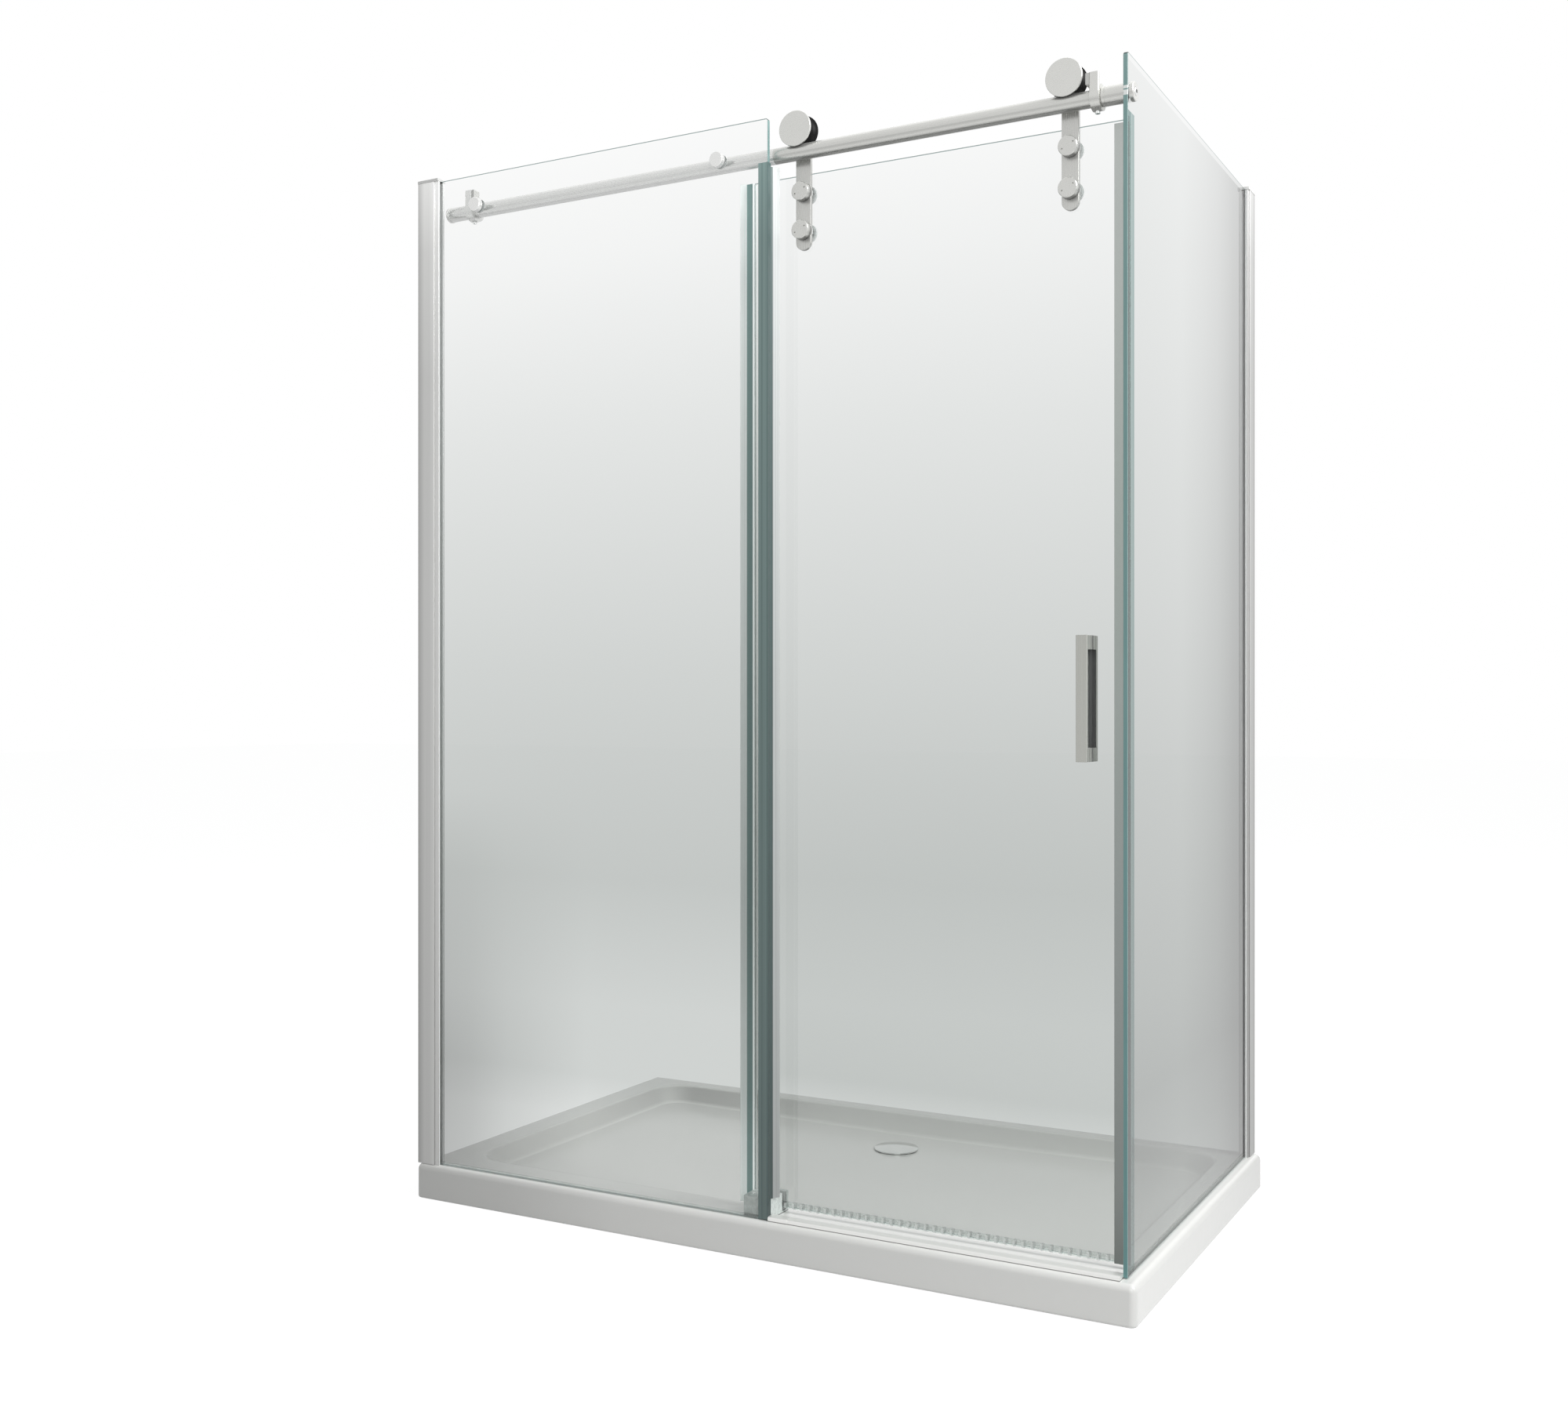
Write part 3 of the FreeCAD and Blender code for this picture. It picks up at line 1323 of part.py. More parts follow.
def build_handle():
    front = handle_half(door_front_y, -1, handle_pocket_widths[0])
    back = handle_half(door_back_y, 1, handle_pocket_widths[1])
    head_seat = door_back_y + handle_depth - handle_screw_sink - handle_screw_head_length
    tip = door_front_y - handle_screw_engagement
    screws = []
    hole = handle_screw_radius + bolt_clearance
    head_hole = handle_screw_head_radius + bolt_clearance
    for height in handle_screw_heights():
        at = vector(handle_mid_x, 0, height)
        shank = rod(at + y_way * tip, y_way, head_seat - tip, handle_screw_radius)
        head = rod(at + y_way * head_seat, y_way, handle_screw_head_length, handle_screw_head_radius)
        socket_y = head_seat + handle_screw_head_length - handle_screw_socket_depth
        socket = hexagon(at + y_way * socket_y, y_way, handle_screw_socket_depth + overrun,
                         handle_screw_socket_radius)
        screws.append(joined([shank, head]).cut(socket))
        front = front.cut(rod(at + y_way * (tip - bolt_clearance), y_way, handle_depth, hole))
        back = back.cut(rod(at + y_way * (door_back_y - overrun), y_way, handle_depth, hole))
        back = back.cut(rod(at + y_way * head_seat, y_way, handle_depth, head_hole))
    save("handle_front", front)
    save("handle_back", back)
    save("handle_screws", *screws)


os.makedirs("parts", exist_ok=True)
build_tray()
build_waste()
build_wall_profile("front", on_front, 1)
build_wall_profile("side", on_side, -1)
build_standing_glass()
build_edge_seal()
build_rail()
build_rail_clamps()
build_stoppers()
build_threshold()
build_guide()
build_door_glass()
build_door_seals()
build_straps()
build_rollers()
build_handle()
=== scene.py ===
import json
import math

import bpy
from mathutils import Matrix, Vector


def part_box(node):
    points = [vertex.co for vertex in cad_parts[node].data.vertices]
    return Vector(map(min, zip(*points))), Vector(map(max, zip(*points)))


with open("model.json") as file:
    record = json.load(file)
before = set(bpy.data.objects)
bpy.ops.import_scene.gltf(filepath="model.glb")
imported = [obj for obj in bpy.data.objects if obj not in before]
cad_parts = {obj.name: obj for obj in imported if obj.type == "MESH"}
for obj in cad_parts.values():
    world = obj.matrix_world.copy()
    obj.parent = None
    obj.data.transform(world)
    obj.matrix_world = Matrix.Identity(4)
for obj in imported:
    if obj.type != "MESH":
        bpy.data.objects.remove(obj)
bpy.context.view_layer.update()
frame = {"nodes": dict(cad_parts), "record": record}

white = (1.0, 1.0, 1.0, 1.0)
black = (0.0, 0.0, 0.0, 1.0)

# Camera: the photograph's place, height and angle
camera_place = (1.5211, -3.0466, 1.0044)
camera_turn = 0.499
camera_lens = 37.845
camera_sensor = 36.0

# Light: one broad lamp high on the right, a weak one in front and an even room
room_light = 0.42
room_colour = (0.985, 1.0, 0.995, 1.0)
backdrop_light = 1.0
key_place = (4.2, -0.6, 4.4)
key_size = 3.0
key_power = 210.0
fill_place = (2.6, -4.2, 1.8)
fill_size = 2.6
fill_power = 42.0
aim = (0.0, 0.0, 0.6)

# Floor: it glows white for rays that look, and is a plain grey for light that bounces
floor_half = 30.0
floor_signs = ((-1, -1), (1, -1), (1, 1), (-1, 1))
floor_glow_share = 0.60
floor_glow_strength = 1.50
floor_grey = (0.55, 0.55, 0.55, 1.0)

# Each finish: its grain's scale, the roughness at both ends of the grain, the bump's depth in
# metres and how far the grain changes the tone
finishes = {
    "acrylic": (60.0, (0.25, 0.27), 0.0000002, 0.004),
    "anodised": (2.0, (0.30, 0.40), 0.000004, 0.02),
    "satin": (2.0, (0.26, 0.29), 0.0000007, 0.008),
    "polished": (40.0, (0.06, 0.12), 0.000005, 0.03),
    "rubber": (700.0, (0.50, 0.70), 0.00004, 0.10),
    "wheel": (3.0, (0.40, 0.55), 0.00004, 0.20),
    "moulded": (500.0, (0.35, 0.50), 0.00003, 0.02),
    "frosted": (500.0, (0.20, 0.35), 0.00003, 0.02),
    "seal": (1.0, (0.25, 0.35), 0.00001, 0.10),
}

# How a grain is stretched: a high number makes it fine along that axis, a low one draws it out
even_grain = (1.0, 1.0, 1.0)
turned_grain = (40.0, 40.0, 40.0)
rail_grain = (1.0, 250.0, 250.0)
upright_grain = (250.0, 250.0, 1.0)
profile_grain = (300.0, 300.0, 1.2)
threshold_grain = (1.2, 300.0, 300.0)
wheel_grain = (1.0, 400.0, 1.0)
seal_grain = (500.0, 500.0, 0.4)
edge_grain = (40.0, 40.0, 1.5)
strip_grain = (60.0, 60.0, 60.0)

# The values that noise mostly lies between, and how detailed a mottled paint's noise is. A mottle
# below is that noise's scale and how far it changes the tone.
noise_low = 0.3
noise_high = 0.7
mottle_detail = 2.0

# How far a face turns from its neighbour's way before it takes its own shade
turned_start = 0.3
turned_full = 0.8

# Tray: painted shade darkens its front at shares of its length from the wall on the left, and its
# side at shares of its depth from the front
acrylic_white = (0.87, 0.87, 0.85)
acrylic_mottle = (3.0, 0.015)
acrylic_coat = {"Coat Weight": 0.3, "Coat Roughness": 0.14}
tray_front_shade_steps = ((0.00, 0.63), (0.15, 0.70), (0.33, 0.87), (1.00, 0.92))
tray_side_shade_steps = ((0.00, 0.85), (0.50, 0.78), (1.00, 0.67))

# Wall profiles: their tone with painted shade near the wall, at shares of their depth from it, and with
# painted shade low down and a painted highlight at the top, at shares of their height. The side one is
# painted less lit than the front one.
anodised_tone = (1.0, 1.0, 0.985)
anodised_metal = 0.5
profile_lit_strengths = {"front": 1.0, "side": 0.75}
profile_shade_steps = ((0.00, 0.41), (0.40, 0.60), (0.70, 0.60), (1.00, 0.68))
profile_height_light_steps = ((0.00, 0.76), (0.50, 0.98), (0.80, 1.05), (0.93, 1.25), (1.00, 1.60))

# Threshold: its foot carries a painted shadow of its own joint with the tray, at shares of its height
threshold_tone = (0.86, 0.86, 0.84)
threshold_shadow_steps = ((0.00, 0.30), (0.12, 0.30), (0.20, 1.0))

# Satin steel: its painted shade and highlight at shares of the turn from facing down to facing up, how
# much a painted reflection of the glass pales it behind the fixed glass, and how brightly each kind of
# piece is painted lit
steel_tone = (1.0, 1.0, 0.965)
steel_metal = 0.6
steel_turn_shades = ((0.00, 0.25), (0.08, 0.26), (0.13, 0.52), (0.20, 0.62), (0.32, 0.48), (0.42, 0.60),
               (0.72, 0.63), (0.86, 0.78), (1.00, 0.88))
glass_reflection_paleness = 0.55
rail_lit_strength = 1.1
turned_lit_strength = 1.15
knob_lit_strength = 1.1
cap_lit_strength = 1.17

# Strap knobs: painted shade towards the strap: the share of their depth that stays clear of it, and
# how dark that shade gets
knob_clear_share = 0.35
knob_shade = 0.85

# Handle: painted shade darkens its finger pocket at shares of the handle's whole depth, and the
# pocket's ends are measured from the handle's middle, side, front and back
handle_tone = (0.46, 0.465, 0.435)
handle_mottle = (3.0, 0.01)
pocket_shade_steps = ((0.05, 0.98), (0.22, 0.94), (0.38, 0.80), (0.55, 0.40), (0.80, 0.12))
pocket_before_middle = 0.004
pocket_from_side = 0.0004
pocket_from_front = 0.002
pocket_from_back = 0.008

# Polished steel, plastic and rubber
polished_tone = (0.78, 0.79, 0.78)
polished_metal = 1.0
rubber_black = (0.018, 0.020, 0.019)
wheel_black = (0.004, 0.004, 0.004)
wheel_gloss = 0.15
cap_grey = (0.80, 0.80, 0.79)
drain_white = (0.93, 0.94, 0.93)
buffer_grey = (0.66, 0.66, 0.64)
washer_white = (0.80, 0.83, 0.82)
block_frost = (0.66, 0.71, 0.69)
block_mottle = (120.0, 0.12)

# Glazing gaskets: pale, with a black line where they meet the channel's outer wall
gasket_pale = (0.90, 0.92, 0.91)
gasket_stops = ((0.00, rubber_black), (0.02, rubber_black), (0.04, gasket_pale), (1.00, gasket_pale))

# Clear strips under the glasses, and the painted glints, pale spots spaced along the one under the door
strip_white = (0.85, 0.87, 0.86)
strip_tint = (0.97, 0.985, 0.98)
strip_milkiness = 0.06
strip_grain_scale = 2.0
strip_roughness = 0.35
strip_bump = 0.00003
glint_spacing = 0.0165
glint_milkiness = 0.35
glint_wave = (0.2, 0.9)

# Upright seals: their bands at shares of their width, and their painted light and shade at shares of
# their height. The fixed one has painted shade on its right side, and its last line teal, before its
# milky fin, is a painted shadow. The door one has a painted glow at its right end, from the share of
# the width where the glow starts to the share where it is full.
seal_teal = (0.21, 0.35, 0.335)
seal_dark_teal = (0.19, 0.27, 0.26)
seal_line_teal = (0.13, 0.20, 0.195)
seal_milk = (0.93, 0.97, 0.96)
door_seal_bands = ((0.00, seal_milk), (0.38, seal_milk), (0.42, seal_teal), (0.84, seal_teal),
                   (0.90, seal_milk), (1.00, seal_milk))
door_seal_heights = ((0.00, 1.20), (0.10, 0.98), (0.25, 0.82), (0.70, 0.88), (0.90, 1.05), (1.00, 1.50))
fixed_seal_bands = ((0.00, seal_dark_teal), (0.21, seal_dark_teal), (0.27, seal_line_teal),
                    (0.34, seal_dark_teal), (0.56, seal_dark_teal), (0.63, seal_line_teal),
                    (0.70, seal_line_teal), (0.73, seal_milk), (1.00, seal_milk))
fixed_seal_heights = ((0.00, 0.58), (0.20, 0.72), (0.50, 0.87), (0.78, 1.10), (0.93, 1.25), (1.00, 1.70))
fin_end_shade = 0.62
clip_end_painted_glow = 0.42
clip_end_shares = (0.85, 0.90)

# The door's closing seal, with painted shade that darkens it towards its foot, at shares of its height
closing_shade_steps = ((0.00, (0.17, 0.19, 0.18)), (0.06, (0.25, 0.27, 0.26)), (0.30, (0.34, 0.37, 0.36)),
                 (0.65, (0.45, 0.50, 0.47)), (1.00, (0.62, 0.65, 0.63)))

# Glass: the light that a whole panel lets through, at shares of its height from the foot; its change
# with height is painted shade and reflection
glass_ior = 1.45
glass_roughness = 0.02
glass_tint = (0.91, 1.0, 0.95)
glass_shade_steps = {
    "fixed_glass": ((0.00, 0.74), (0.07, 0.70), (0.11, 0.60), (0.18, 0.61), (0.30, 0.55),
                    (0.50, 0.64), (0.75, 0.79), (0.90, 0.90), (1.00, 0.95)),
    "door_glass": ((0.00, 0.65), (0.09, 0.61), (0.13, 0.51), (0.20, 0.54), (0.32, 0.53),
                   (0.50, 0.63), (0.75, 0.77), (0.90, 0.87), (1.00, 0.93)),
    "side_glass": ((0.00, 0.38), (0.08, 0.31), (0.14, 0.29), (0.22, 0.36), (0.35, 0.46),
                   (0.55, 0.59), (0.80, 0.73), (1.00, 0.84)),
}

# How far a surface turns the panel's thin way where it is a face, and where it is an arris
face_limit = 0.9
arris_limit = 0.5

# Painted shade darkens a panel towards its wall profile: what a face lets through at shares of its
# width, the shares of the height where this shade is full and where it is weakest, and its share there
side_shade_steps = ((0.00, 1.00), (0.40, 1.00), (0.585, 0.925), (0.72, 0.85), (0.79, 0.785),
                    (0.87, 0.695), (0.92, 0.65), (1.00, 0.60))
side_shade_heights = (0.0, 1.0)
side_shade_least = 0.62
fixed_shade_steps = ((0.00, 0.76), (0.05, 0.775), (0.13, 0.81), (0.25, 0.895), (0.37, 0.95),
                     (0.49, 1.00), (1.00, 1.00))
fixed_shade_heights = (0.08, 0.38)
fixed_shade_least = 0.0

# The outer face has a thin rim at its top
rim_tint = (0.40, 0.48, 0.47)
rim_width = 0.0022

# The side glass's outer face in bands beside its free edge, at shares of their whole width
free_edge_width = 0.036
free_edge_tint = (0.21, 0.36, 0.35)
free_edge_light = (0.48, 0.62, 0.61)
free_edge_dark = (0.33, 0.48, 0.47)
free_edge_stops = ((0.00, free_edge_tint), (0.45, free_edge_tint), (0.55, free_edge_light),
                   (0.65, free_edge_light), (0.72, free_edge_dark), (0.97, free_edge_dark),
                   (1.00, white))

# Ground edges: their green at shares of the height, with fine upright streaks
edge_steps = ((0.00, (0.15, 0.30, 0.30)), (0.30, (0.18, 0.33, 0.33)), (0.70, (0.21, 0.36, 0.355)),
              (1.00, (0.26, 0.41, 0.40)))
edge_seen_through = (0.80, 0.90, 0.885)
arris_grey = (0.32, 0.42, 0.41)
top_edge_green = (0.05, 0.08, 0.075)
edge_streak_scale = 3.0
edge_streak_tones = (0.93, 1.07)
edge_roughness = 0.25
edge_gloss = 0.2
edge_bump = 0.00001

# The rail's hole shows in the side glass's edge as painted highlight bands, at shares of the bushes'
# height
hole_highlight = (0.93, 0.96, 0.95)
hole_bands = ((0.18, black), (0.21, white), (0.45, white), (0.48, black),
              (0.53, black), (0.55, white), (0.69, white), (0.71, black))


def opaque(colour):
    return tuple(colour)[:3] + (1.0,)


def add(tree, kind, inputs=None, **settings):
    """Adds a node. An input is a number, a colour or another node's output."""
    node = tree.nodes.new(kind)
    for name, value in settings.items():
        setattr(node, name, value)
    for key, value in (inputs or {}).items():
        if isinstance(value, bpy.types.NodeSocket):
            tree.links.new(value, node.inputs[key])
        else:
            node.inputs[key].default_value = value
    return node


def math_node(tree, operation, a, b=0.0):
    return add(tree, "ShaderNodeMath", {0: a, 1: b}, operation=operation).outputs[0]


def over(tree, value, limit):
    return math_node(tree, "GREATER_THAN", value, limit)


def under(tree, value, limit):
    return math_node(tree, "LESS_THAN", value, limit)


def both(tree, first, second):
    """1 where both are 1, or else their product."""
    return math_node(tree, "MULTIPLY", first, second)


def span(tree, value, low, high, new_low=0.0, new_high=1.0):
    inputs = {"Value": value, "From Min": low, "From Max": high, "To Min": new_low, "To Max": new_high}
    return add(tree, "ShaderNodeMapRange", inputs).outputs[0]


def spread(tree, grain, low, high):
    """Noise spread out from low to high."""
    return span(tree, grain, noise_low, noise_high, low, high)


def blend(tree, share, first, second, how="MIX"):
    inputs = {"Fac": share, "Color1": first, "Color2": second}
    return add(tree, "ShaderNodeMixRGB", inputs, blend_type=how).outputs[0]


def times(tree, first, second):
    """Two colours multiplied."""
    return blend(tree, 1.0, first, second, "MULTIPLY")


def mix_shader(tree, share, first, second):
    return add(tree, "ShaderNodeMixShader", {0: share, 1: first, 2: second}).outputs[0]


def blank_material(name):
    """A new material with no nodes, and its tree."""
    material = bpy.data.materials.new(name)
    material.use_nodes = True
    material.node_tree.nodes.clear()
    return material, material.node_tree


def show(tree, shader, kind="ShaderNodeOutputMaterial"):
    """Makes a shader what the tree shows."""
    add(tree, kind, {"Surface": shader})


def place(tree, stretch=even_grain):
    """Object coordinates, stretched."""
    coordinates = add(tree, "ShaderNodeTexCoord").outputs["Object"]
    return add(tree, "ShaderNodeMapping", {"Vector": coordinates, "Scale": stretch}).outputs[0]


def along(tree, axis, kind="Object"):
    """One coordinate of the surface's place, or of its normal."""
    coordinates = add(tree, "ShaderNodeTexCoord").outputs[kind]
    return add(tree, "ShaderNodeSeparateXYZ", {"Vector": coordinates}).outputs[axis]


def noise(tree, vector, scale, detail=4.0):
    inputs = {"Vector": vector, "Scale": scale, "Detail": detail}
    return add(tree, "ShaderNodeTexNoise", inputs).outputs["Fac"]


def bump(tree, height, distance):
    return add(tree, "ShaderNodeBump", {"Height": height, "Distance": distance}).outputs[0]


def ramp(tree, value, stops):
    """A colour ramp through (place, colour) stops."""
    node = add(tree, "ShaderNodeValToRGB", {"Fac": value})
    elements = node.color_ramp.elements
    any_place = 0.5
    while len(elements) < len(stops):
        elements.new(any_place)
    for element, (position, colour) in zip(elements, stops):
        element.position = position
        element.color = opaque(colour)
    return node.outputs["Color"]


def tones(steps, colour):
    """Ramp stops: each step's strength times one colour."""
    return [(position, [part * strength for part in colour]) for position, strength in steps]


def over_box(box, axis, stops, backwards=False):
    """Paint that changes along an axis, from one end of a box to the other."""
    low, high = [getattr(corner, axis.lower()) for corner in box]
    if backwards:
        low, high = high, low
    return lambda tree: ramp(tree, span(tree, along(tree, axis), low, high), stops)


def mottled(colour, scale=4.0, depth=0.03):
    """Paint of one colour that wanders a little over the piece."""
    def paint(tree):
        broad = noise(tree, place(tree), scale, mottle_detail)
        return ramp(tree, broad, tones(((noise_low, 1.0 - depth), (noise_high, 1.0 + depth)), colour))
    return paint


def surface(name, finish, paint, stretch=even_grain, **shader):
    """A solid surface: its own paint, varied by one grain that is even or drawn out into lines.

    Another socket's value is a number, a colour or a function of the tree."""
    scale, rough, depth, contrast = finishes[finish]
    material, tree = blank_material(name)
    grain = noise(tree, place(tree, stretch), scale)
    inputs = {
        "Base Color": times(tree, paint(tree), spread(tree, grain, 1.0 - contrast, 1.0 + contrast)),
        "Roughness": spread(tree, grain, rough[0], rough[1]),
        "Normal": bump(tree, grain, depth),
    }
    for socket, value in shader.items():
        inputs[socket] = value(tree) if callable(value) else value
    show(tree, add(tree, "ShaderNodeBsdfPrincipled", inputs).outputs[0])
    return material


def tray_paint(tree):
    """White, with painted shade darkening the front and the side towards the walls."""
    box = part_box("shower_tray")
    plain = mottled(acrylic_white, *acrylic_mottle)(tree)
    front = over_box(box, "X", tones(tray_front_shade_steps, acrylic_white))(tree)
    side = over_box(box, "Y", tones(tray_side_shade_steps, acrylic_white))(tree)
    turn = along(tree, "Y", "Normal")
    fronted = blend(tree, span(tree, turn, -turned_start, -turned_full), plain, front)
    return blend(tree, span(tree, along(tree, "X", "Normal"), turned_start, turned_full), fronted, side)


def acrylic():
    """White moulded acrylic: even and glossy, with a barely uneven skin; its front and side carry painted
    shade.
    """
    return surface("tray_acrylic", "acrylic", tray_paint, **acrylic_coat)


def profile_paint(node, axis, strength):
    """Anodised tone with painted shade towards the wall and the foot, and a painted highlight towards the
    top.
    """
    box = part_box(node)
    lit = [part * strength for part in anodised_tone]
    depth = over_box(box, axis, tones(profile_shade_steps, lit), backwards=(axis == "Y"))
    height = over_box(box, "Z", tones(profile_height_light_steps, white))
    return lambda tree: times(tree, depth(tree), height(tree))


def anodised(name, paint, stretch):
    """Drawn aluminium with fine lines along its length."""
    return surface(name, "anodised", paint, stretch, Metallic=anodised_metal)


def steel(strength=1.0):
    """Satin steel's paint, with painted shade and highlight by how far a face turns up or down, and paler
    behind the fixed glass where a painted reflection of the glass lies over it.
    """
    def paint(tree):
        turn = span(tree, along(tree, "Z", "Normal"), -1.0, 1.0)
        plain = ramp(tree, turn, tones(steel_turn_shades, [part * strength for part in steel_tone]))
        covered = under(tree, along(tree, "X"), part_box("fixed_glass")[1].x)
        return blend(tree, both(tree, covered, glass_reflection_paleness), plain, white)
    return paint


def satin(name, stretch, paint=steel(), metal=steel_metal):
    """Satin stainless steel, with faint lines along one way or a fine even grain."""
    return surface(name, "satin", paint, stretch, Metallic=metal)


def knob_paint(tree):
    """Steel with painted shade that darkens it towards the strap it is screwed against."""
    low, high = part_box("strap_knobs")
    near = low.y + (high.y - low.y) * knob_clear_share
    fade = span(tree, along(tree, "Y"), near, high.y, 0.0, knob_shade)
    return blend(tree, fade, steel(knob_lit_strength)(tree), black)


def pocketed(tree):
    """1 in the handle's finger pocket."""
    low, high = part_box("handle_front")
    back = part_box("handle_back")[1].y
    middle = (low.x + high.x) / 2
    x = along(tree, "X")
    y = along(tree, "Y")
    inside = both(tree, over(tree, x, middle - pocket_before_middle),
                  under(tree, x, high.x - pocket_from_side))
    deep = both(tree, over(tree, y, low.y + pocket_from_front), under(tree, y, back - pocket_from_back))
    return both(tree, inside, deep)


def handle_paint(tree):
    """Steel with a finger pocket that painted shade darkens away from the front."""
    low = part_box("handle_front")[0]
    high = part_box("handle_back")[1]
    plain = mottled(handle_tone, *handle_mottle)(tree)
    pocket = over_box((low, high), "Y", tones(pocket_shade_steps, white))(tree)
    return blend(tree, pocketed(tree), plain, pocket)


def handle_metal(tree):
    """The pocket is too narrow to mirror the room, so it shows no metal."""
    return span(tree, pocketed(tree), 0.0, 1.0, steel_metal, 0.0)


def liner_paint(tree):
    """The guide's liner is dark where it is cut off and pale along its walls."""
    cut = math_node(tree, "ABSOLUTE", along(tree, "X", "Normal"))
    return blend(tree, over(tree, cut, face_limit), opaque(gasket_pale), opaque(rubber_black))


def wheel_plastic():
    """Turned black plastic with faint tool rings."""
    return surface("wheel_plastic", "wheel", mottled(wheel_black), wheel_grain,
                   **{"Specular IOR Level": wheel_gloss})


def banded_seal(name, bands, heights, end_shade=1.0, end_painted_glow=0.0):
    """Soft seal in bands across its width, with painted light and shade that change down its height, and
    fine upright lines.

    Its right side may have painted shade that makes it darker than its front, and its right end may
    have a painted glow."""
    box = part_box(name)
    low, high = box
    glow_start, glow_full = [low.x + (high.x - low.x) * share for share in clip_end_shares]

    def paint(tree):
        across = over_box(box, "X", bands)(tree)
        height = over_box(box, "Z", tones(heights, white))(tree)
        side = span(tree, along(tree, "X", "Normal"), turned_start, turned_full, 1.0, end_shade)
        return times(tree, times(tree, across, height), side)

    # Painted light: an emission that makes the right end glow though it is no lamp
    def painted_end_light(tree):
        return span(tree, along(tree, "X"), glow_start, glow_full, 0.0, end_painted_glow)
    glow = {"Emission Color": opaque(seal_milk), "Emission Strength": painted_end_light}
    return surface(name + "_material", "seal", paint, seal_grain, **glow)


def behind(tree):
    """1 on a surface seen from inside its solid."""
    return add(tree, "ShaderNodeNewGeometry").outputs["Backfacing"]


def in_front(tree):
    """1 on a surface seen from outside its solid."""
    return math_node(tree, "SUBTRACT", 1.0, behind(tree))


def gloss_share(tree):
    """The gloss of a clear sheet, on the surfaces that one sees from outside alone."""
    fresnel = add(tree, "ShaderNodeFresnel", {"IOR": glass_ior}).outputs[0]
    return both(tree, fresnel, in_front(tree))


def lighting(tree):
    """1 for rays that carry light to a surface: shadow rays and those of dull surfaces."""
    path = add(tree, "ShaderNodeLightPath")
    return math_node(tree, "MAXIMUM", path.outputs["Is Shadow Ray"], path.outputs["Is Diffuse Ray"])


def clear_shader(tree, tint):
    """A clear sheet: tinted where one looks through, with a gloss over it, and open to light."""
    colour = blend(tree, lighting(tree), tint, white)
    through = add(tree, "ShaderNodeBsdfTransparent", {"Color": colour}).outputs[0]
    gloss = add(tree, "ShaderNodeBsdfGlossy", {"Color": white, "Roughness": glass_roughness}).outputs[0]
    return mix_shader(tree, gloss_share(tree), through, gloss)


def shaded_height_tint(tree, name):
    """What one face of a panel lets through: less, and greener, where painted shade makes the panel
    darker.

    One looks through two faces, so each has the square root of the panel's tint."""
    steps = []
    for step, strength in glass_shade_steps[name]:
        greened = [strength * (part + (1.0 - part) * strength) for part in glass_tint]
        steps.append((step, [math.sqrt(part) for part in greened]))
    return over_box(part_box(name), "Z", steps)(tree)


def outer_face(tree, name):
    """1 on the face that looks out of the cabin."""
    outward = along(tree, "X", "Normal")
    if name != "side_glass":
        outward = math_node(tree, "MULTIPLY", along(tree, "Y", "Normal"), -1.0)
    return over(tree, outward, face_limit)


def rimmed(tree, name, tint, outer):
    """A tint with a thin rim at the outer face's top, where one sees that face from outside."""
    entered = both(tree, outer, in_front(tree))
    rim = both(tree, entered, over(tree, along(tree, "Z"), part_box(name)[1].z - rim_width))
    return blend(tree, rim, tint, opaque(rim_tint))


def free_edged(tree, tint, outer):
    """The side glass's tint with bands beside its free edge, up to the door's top."""
    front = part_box("side_glass")[0].y
    edge = span(tree, along(tree, "Y"), front, front + free_edge_width)
    banded = both(tree, outer, under(tree, along(tree, "Z"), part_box("door_glass")[1].z))
    return times(tree, tint, blend(tree, banded, white, ramp(tree, edge, free_edge_stops)))


def wall_shaded(tree, name, tint, axis, steps, heights, least):
    """A tint with painted shade that darkens towards the wall, fully at one share of the height and least
    at another.
    """
    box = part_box(name)
    low, high = box
    full, weak = [low.z + (high.z - low.z) * share for share in heights]
    amount = span(tree, along(tree, "Z"), full, weak, 1.0, least)
    return blend(tree, amount, tint, over_box(box, axis, tones(steps, white))(tree), "MULTIPLY")


def face_tint(tree, name):
    """What each face lets through, with the rim, the bands and the painted shade that it has."""
    outer = outer_face(tree, name)
    tint = rimmed(tree, name, shaded_height_tint(tree, name), outer)
    if name == "fixed_glass":
        return wall_shaded(tree, name, tint, "X", fixed_shade_steps, fixed_shade_heights,
                           fixed_shade_least)
    if name == "side_glass":
        return wall_shaded(tree, name, free_edged(tree, tint, outer), "Y", side_shade_steps,
                           side_shade_heights, side_shade_least)
    return tint


def edge_paint(tree, name, turned, streaks):
    """Green edges with a dull arris, a dark top and the painted highlight bands of the rail's hole."""
    green = over_box(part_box(name), "Z", edge_steps)(tree)
    streaked = times(tree, green, spread(tree, streaks, edge_streak_tones[0], edge_streak_tones[1]))
    worn = blend(tree, over(tree, turned, arris_limit), streaked, opaque(arris_grey))
    if name == "side_glass":
        bands = over_box(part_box("rail_glass_bushes"), "Z", hole_bands)(tree)
        worn = blend(tree, bands, worn, opaque(hole_highlight))
    top = over(tree, along(tree, "Z", "Normal"), turned_start)
    return blend(tree, top, worn, opaque(top_edge_green))


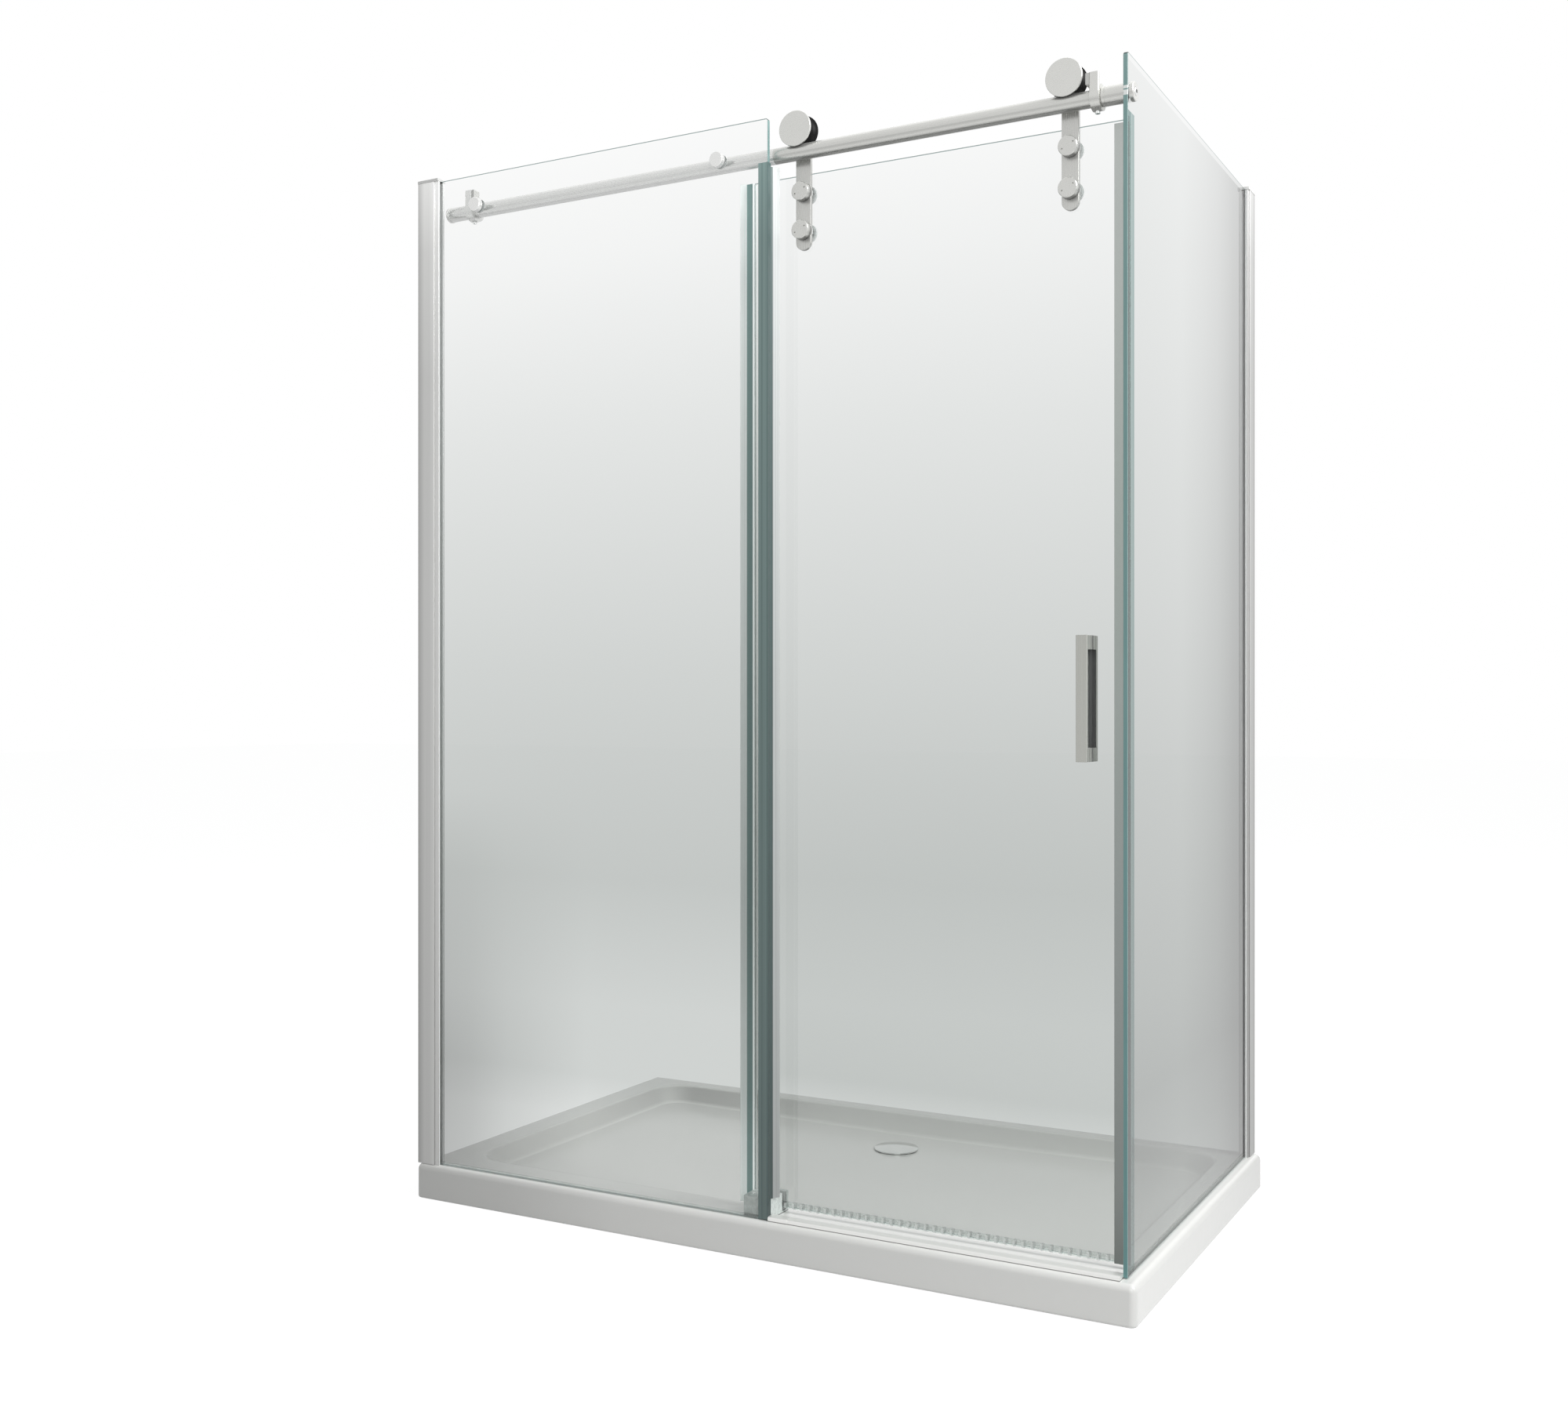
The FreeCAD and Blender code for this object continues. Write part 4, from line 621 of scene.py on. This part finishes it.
def edge_shader(tree, name, turned):
    """An edge: solid and green from outside, and clear where one sees it through the panel."""
    streaks = noise(tree, place(tree, edge_grain), edge_streak_scale)
    outside = add(tree, "ShaderNodeBsdfPrincipled", {
        "Base Color": edge_paint(tree, name, turned, streaks),
        "Roughness": edge_roughness,
        "Specular IOR Level": edge_gloss,
        "Normal": bump(tree, streaks, edge_bump),
    }).outputs[0]
    flat = over(tree, math_node(tree, "ABSOLUTE", along(tree, "Z", "Normal")), turned_start)
    inside = clear_shader(tree, blend(tree, flat, opaque(edge_seen_through), white))
    return mix_shader(tree, behind(tree), outside, inside)


def glass(name, thin_axis):
    """Toughened glass: clear tinted faces, green polished edges and a dull arris between them."""
    material, tree = blank_material(name + "_material")
    turned = math_node(tree, "ABSOLUTE", along(tree, thin_axis, "Normal"))
    edge = edge_shader(tree, name, turned)
    face = clear_shader(tree, face_tint(tree, name))
    show(tree, mix_shader(tree, over(tree, turned, face_limit), edge, face))
    return material


def clear_plastic(name, milkiness):
    """Clear plastic with a share of milkiness, which is a function of the tree."""
    material, tree = blank_material(name)
    grain = noise(tree, place(tree, strip_grain), strip_grain_scale)
    milky = add(tree, "ShaderNodeBsdfPrincipled", {
        "Base Color": mottled(strip_white)(tree),
        "Roughness": strip_roughness,
        "Normal": bump(tree, grain, strip_bump),
    }).outputs[0]
    show(tree, mix_shader(tree, milkiness(tree), clear_shader(tree, opaque(strip_tint)), milky))
    return material


def painted_glints(tree):
    """Painted glints: pale spots spaced along the strip under the door."""
    wave = math_node(tree, "SINE", both(tree, along(tree, "X"), math.tau / glint_spacing))
    return span(tree, wave, glint_wave[0], glint_wave[1], strip_milkiness, glint_milkiness)


def give(names, material):
    for name in names:
        for slot in frame["nodes"][name].material_slots:
            slot.material = material


def nodes_of(slot):
    return [part["node"] for part in frame["record"]["subparts"] if part["material_slot"] == slot]


def dress_steel():
    give(nodes_of("satin_steel"), satin("satin_steel_turned", turned_grain, steel(turned_lit_strength)))
    along_rail = satin("satin_steel_along", rail_grain, steel(rail_lit_strength))
    give(["guide_rail", "rail_collar", "rail_end_cap"], along_rail)
    give(["hanger_strap_left", "hanger_strap_right"], satin("satin_steel_upright", upright_grain))
    give(["handle_front", "handle_back"], satin("handle_steel", upright_grain, handle_paint, handle_metal))
    give(["strap_knobs"], satin("knob_steel", turned_grain, knob_paint))
    give(["roller_cap_left", "roller_cap_right"], satin("cap_steel", turned_grain, steel(cap_lit_strength)))
    mirror = surface("polished_steel", "polished", mottled(polished_tone), Metallic=polished_metal)
    give(nodes_of("polished_steel"), mirror)


def dress_aluminium():
    for side, axis in (("front", "X"), ("side", "Y")):
        paint = profile_paint(side + "_wall_channel", axis, profile_lit_strengths[side])
        pieces = [side + "_wall_channel", side + "_glass_channel"]
        give(pieces, anodised(side + "_profile", paint, profile_grain))
    # The threshold's foot gets a painted contact shadow
    foot_shadowed = over_box(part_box("threshold_end_pieces"), "Z", tones(threshold_shadow_steps, threshold_tone))
    give(["threshold_bar", "threshold_end_pieces"], anodised("threshold_metal", foot_shadowed, threshold_grain))


def dress_rubber():
    give(nodes_of("black_rubber"), surface("black_rubber", "rubber", mottled(rubber_black)))
    for side, axis in (("front", "Y"), ("side", "X")):
        node = side + "_glazing_gasket"
        paint = over_box(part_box(node), axis, gasket_stops, backwards=(axis == "X"))
        give([node], surface(node + "_rubber", "rubber", paint))
    give(["door_guide_liners"], surface("liner_rubber", "rubber", liner_paint))


def dress_plastic():
    give(nodes_of("wheel_plastic"), wheel_plastic())
    for pieces, name, colour in (
            (nodes_of("grey_plastic"), "grey_plastic", cap_grey),
            (["stopper_buffers"], "buffer_plastic", buffer_grey),
            (nodes_of("white_plastic"), "white_plastic", drain_white),
            (nodes_of("clear_washer") + ["strap_back_discs"], "clear_washer", washer_white)):
        give(pieces, surface(name, "moulded", mottled(colour)))


def dress_seals():
    """The strips and seals, and the door guide's block, which is of clear plastic too."""
    give(nodes_of("clear_seal"), clear_plastic("clear_seal", lambda tree: strip_milkiness))
    give(["door_bottom_seal"], clear_plastic("glint_painted_seal", painted_glints))
    give(["door_guide_block"], surface("frosted_block", "frosted", mottled(block_frost, *block_mottle)))
    door_seal = banded_seal("door_edge_seal", door_seal_bands, door_seal_heights, end_painted_glow=clip_end_painted_glow)
    give(["door_edge_seal"], door_seal)
    fixed_seal = banded_seal("fixed_glass_edge_seal", fixed_seal_bands, fixed_seal_heights, fin_end_shade)
    give(["fixed_glass_edge_seal"], fixed_seal)
    # Painted shade darkens the closing seal towards its foot
    foot_shaded = over_box(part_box("door_closing_seal"), "Z", closing_shade_steps)
    give(["door_closing_seal"], surface("grey_seal", "moulded", foot_shaded))


def dress_all():
    """Gives the carried-over nodes their materials: by slot first, then some have one of their own."""
    give(nodes_of("tray_acrylic"), acrylic())
    dress_steel()
    dress_aluminium()
    dress_rubber()
    dress_plastic()
    dress_seals()
    for name, thin_axis in (("fixed_glass", "Y"), ("door_glass", "Y"), ("side_glass", "X")):
        give([name], glass(name, thin_axis))


def seen(tree):
    """1 for rays that look: the camera's, those in a gloss and those through glass."""
    path = add(tree, "ShaderNodeLightPath")
    looks = math_node(tree, "MAXIMUM", path.outputs["Is Camera Ray"], path.outputs["Is Glossy Ray"])
    return math_node(tree, "MAXIMUM", looks, path.outputs["Is Transmission Ray"])


def build_room():
    """An even room, white for whoever looks at it."""
    world = bpy.data.worlds.new("room")
    bpy.context.scene.world = world
    world.use_nodes = True
    tree = world.node_tree
    tree.nodes.clear()
    light = add(tree, "ShaderNodeBackground", {"Color": room_colour, "Strength": room_light}).outputs[0]
    backdrop = add(tree, "ShaderNodeBackground", {"Color": white, "Strength": backdrop_light}).outputs[0]
    show(tree, mix_shader(tree, seen(tree), light, backdrop), "ShaderNodeOutputWorld")


def build_floor():
    """A plain white floor that keeps the cabin's soft shadow."""
    mesh = bpy.data.meshes.new("floor")
    corners = [(x * floor_half, y * floor_half, 0.0) for x, y in floor_signs]
    mesh.from_pydata(corners, [], [tuple(range(len(corners)))])
    floor = bpy.data.objects.new("floor", mesh)
    bpy.context.scene.collection.objects.link(floor)
    material, tree = blank_material("floor_white")
    plain = add(tree, "ShaderNodeBsdfDiffuse", {"Color": floor_grey}).outputs[0]
    glow = add(tree, "ShaderNodeEmission", {"Color": white, "Strength": floor_glow_strength}).outputs[0]
    show(tree, mix_shader(tree, both(tree, seen(tree), floor_glow_share), plain, glow))
    mesh.materials.append(material)


def build_lamp(name, at, size, power):
    data = bpy.data.lights.new(name, "AREA")
    data.shape = "DISK"
    data.size = size
    data.energy = power
    lamp = bpy.data.objects.new(name, data)
    lamp.location = at
    lamp.rotation_euler = (Vector(aim) - Vector(at)).to_track_quat("-Z", "Y").to_euler()
    bpy.context.scene.collection.objects.link(lamp)


def build_camera():
    data = bpy.data.cameras.new("camera")
    data.lens = camera_lens
    data.sensor_width = camera_sensor
    camera = bpy.data.objects.new("camera", data)
    camera.location = camera_place
    camera.rotation_euler = (math.pi / 2, 0.0, camera_turn)
    bpy.context.scene.collection.objects.link(camera)
    bpy.context.scene.camera = camera


bpy.context.scene.view_settings.view_transform = "Standard"
dress_all()
build_room()
build_floor()
build_lamp("key", key_place, key_size, key_power)
build_lamp("fill", fill_place, fill_size, fill_power)
build_camera()
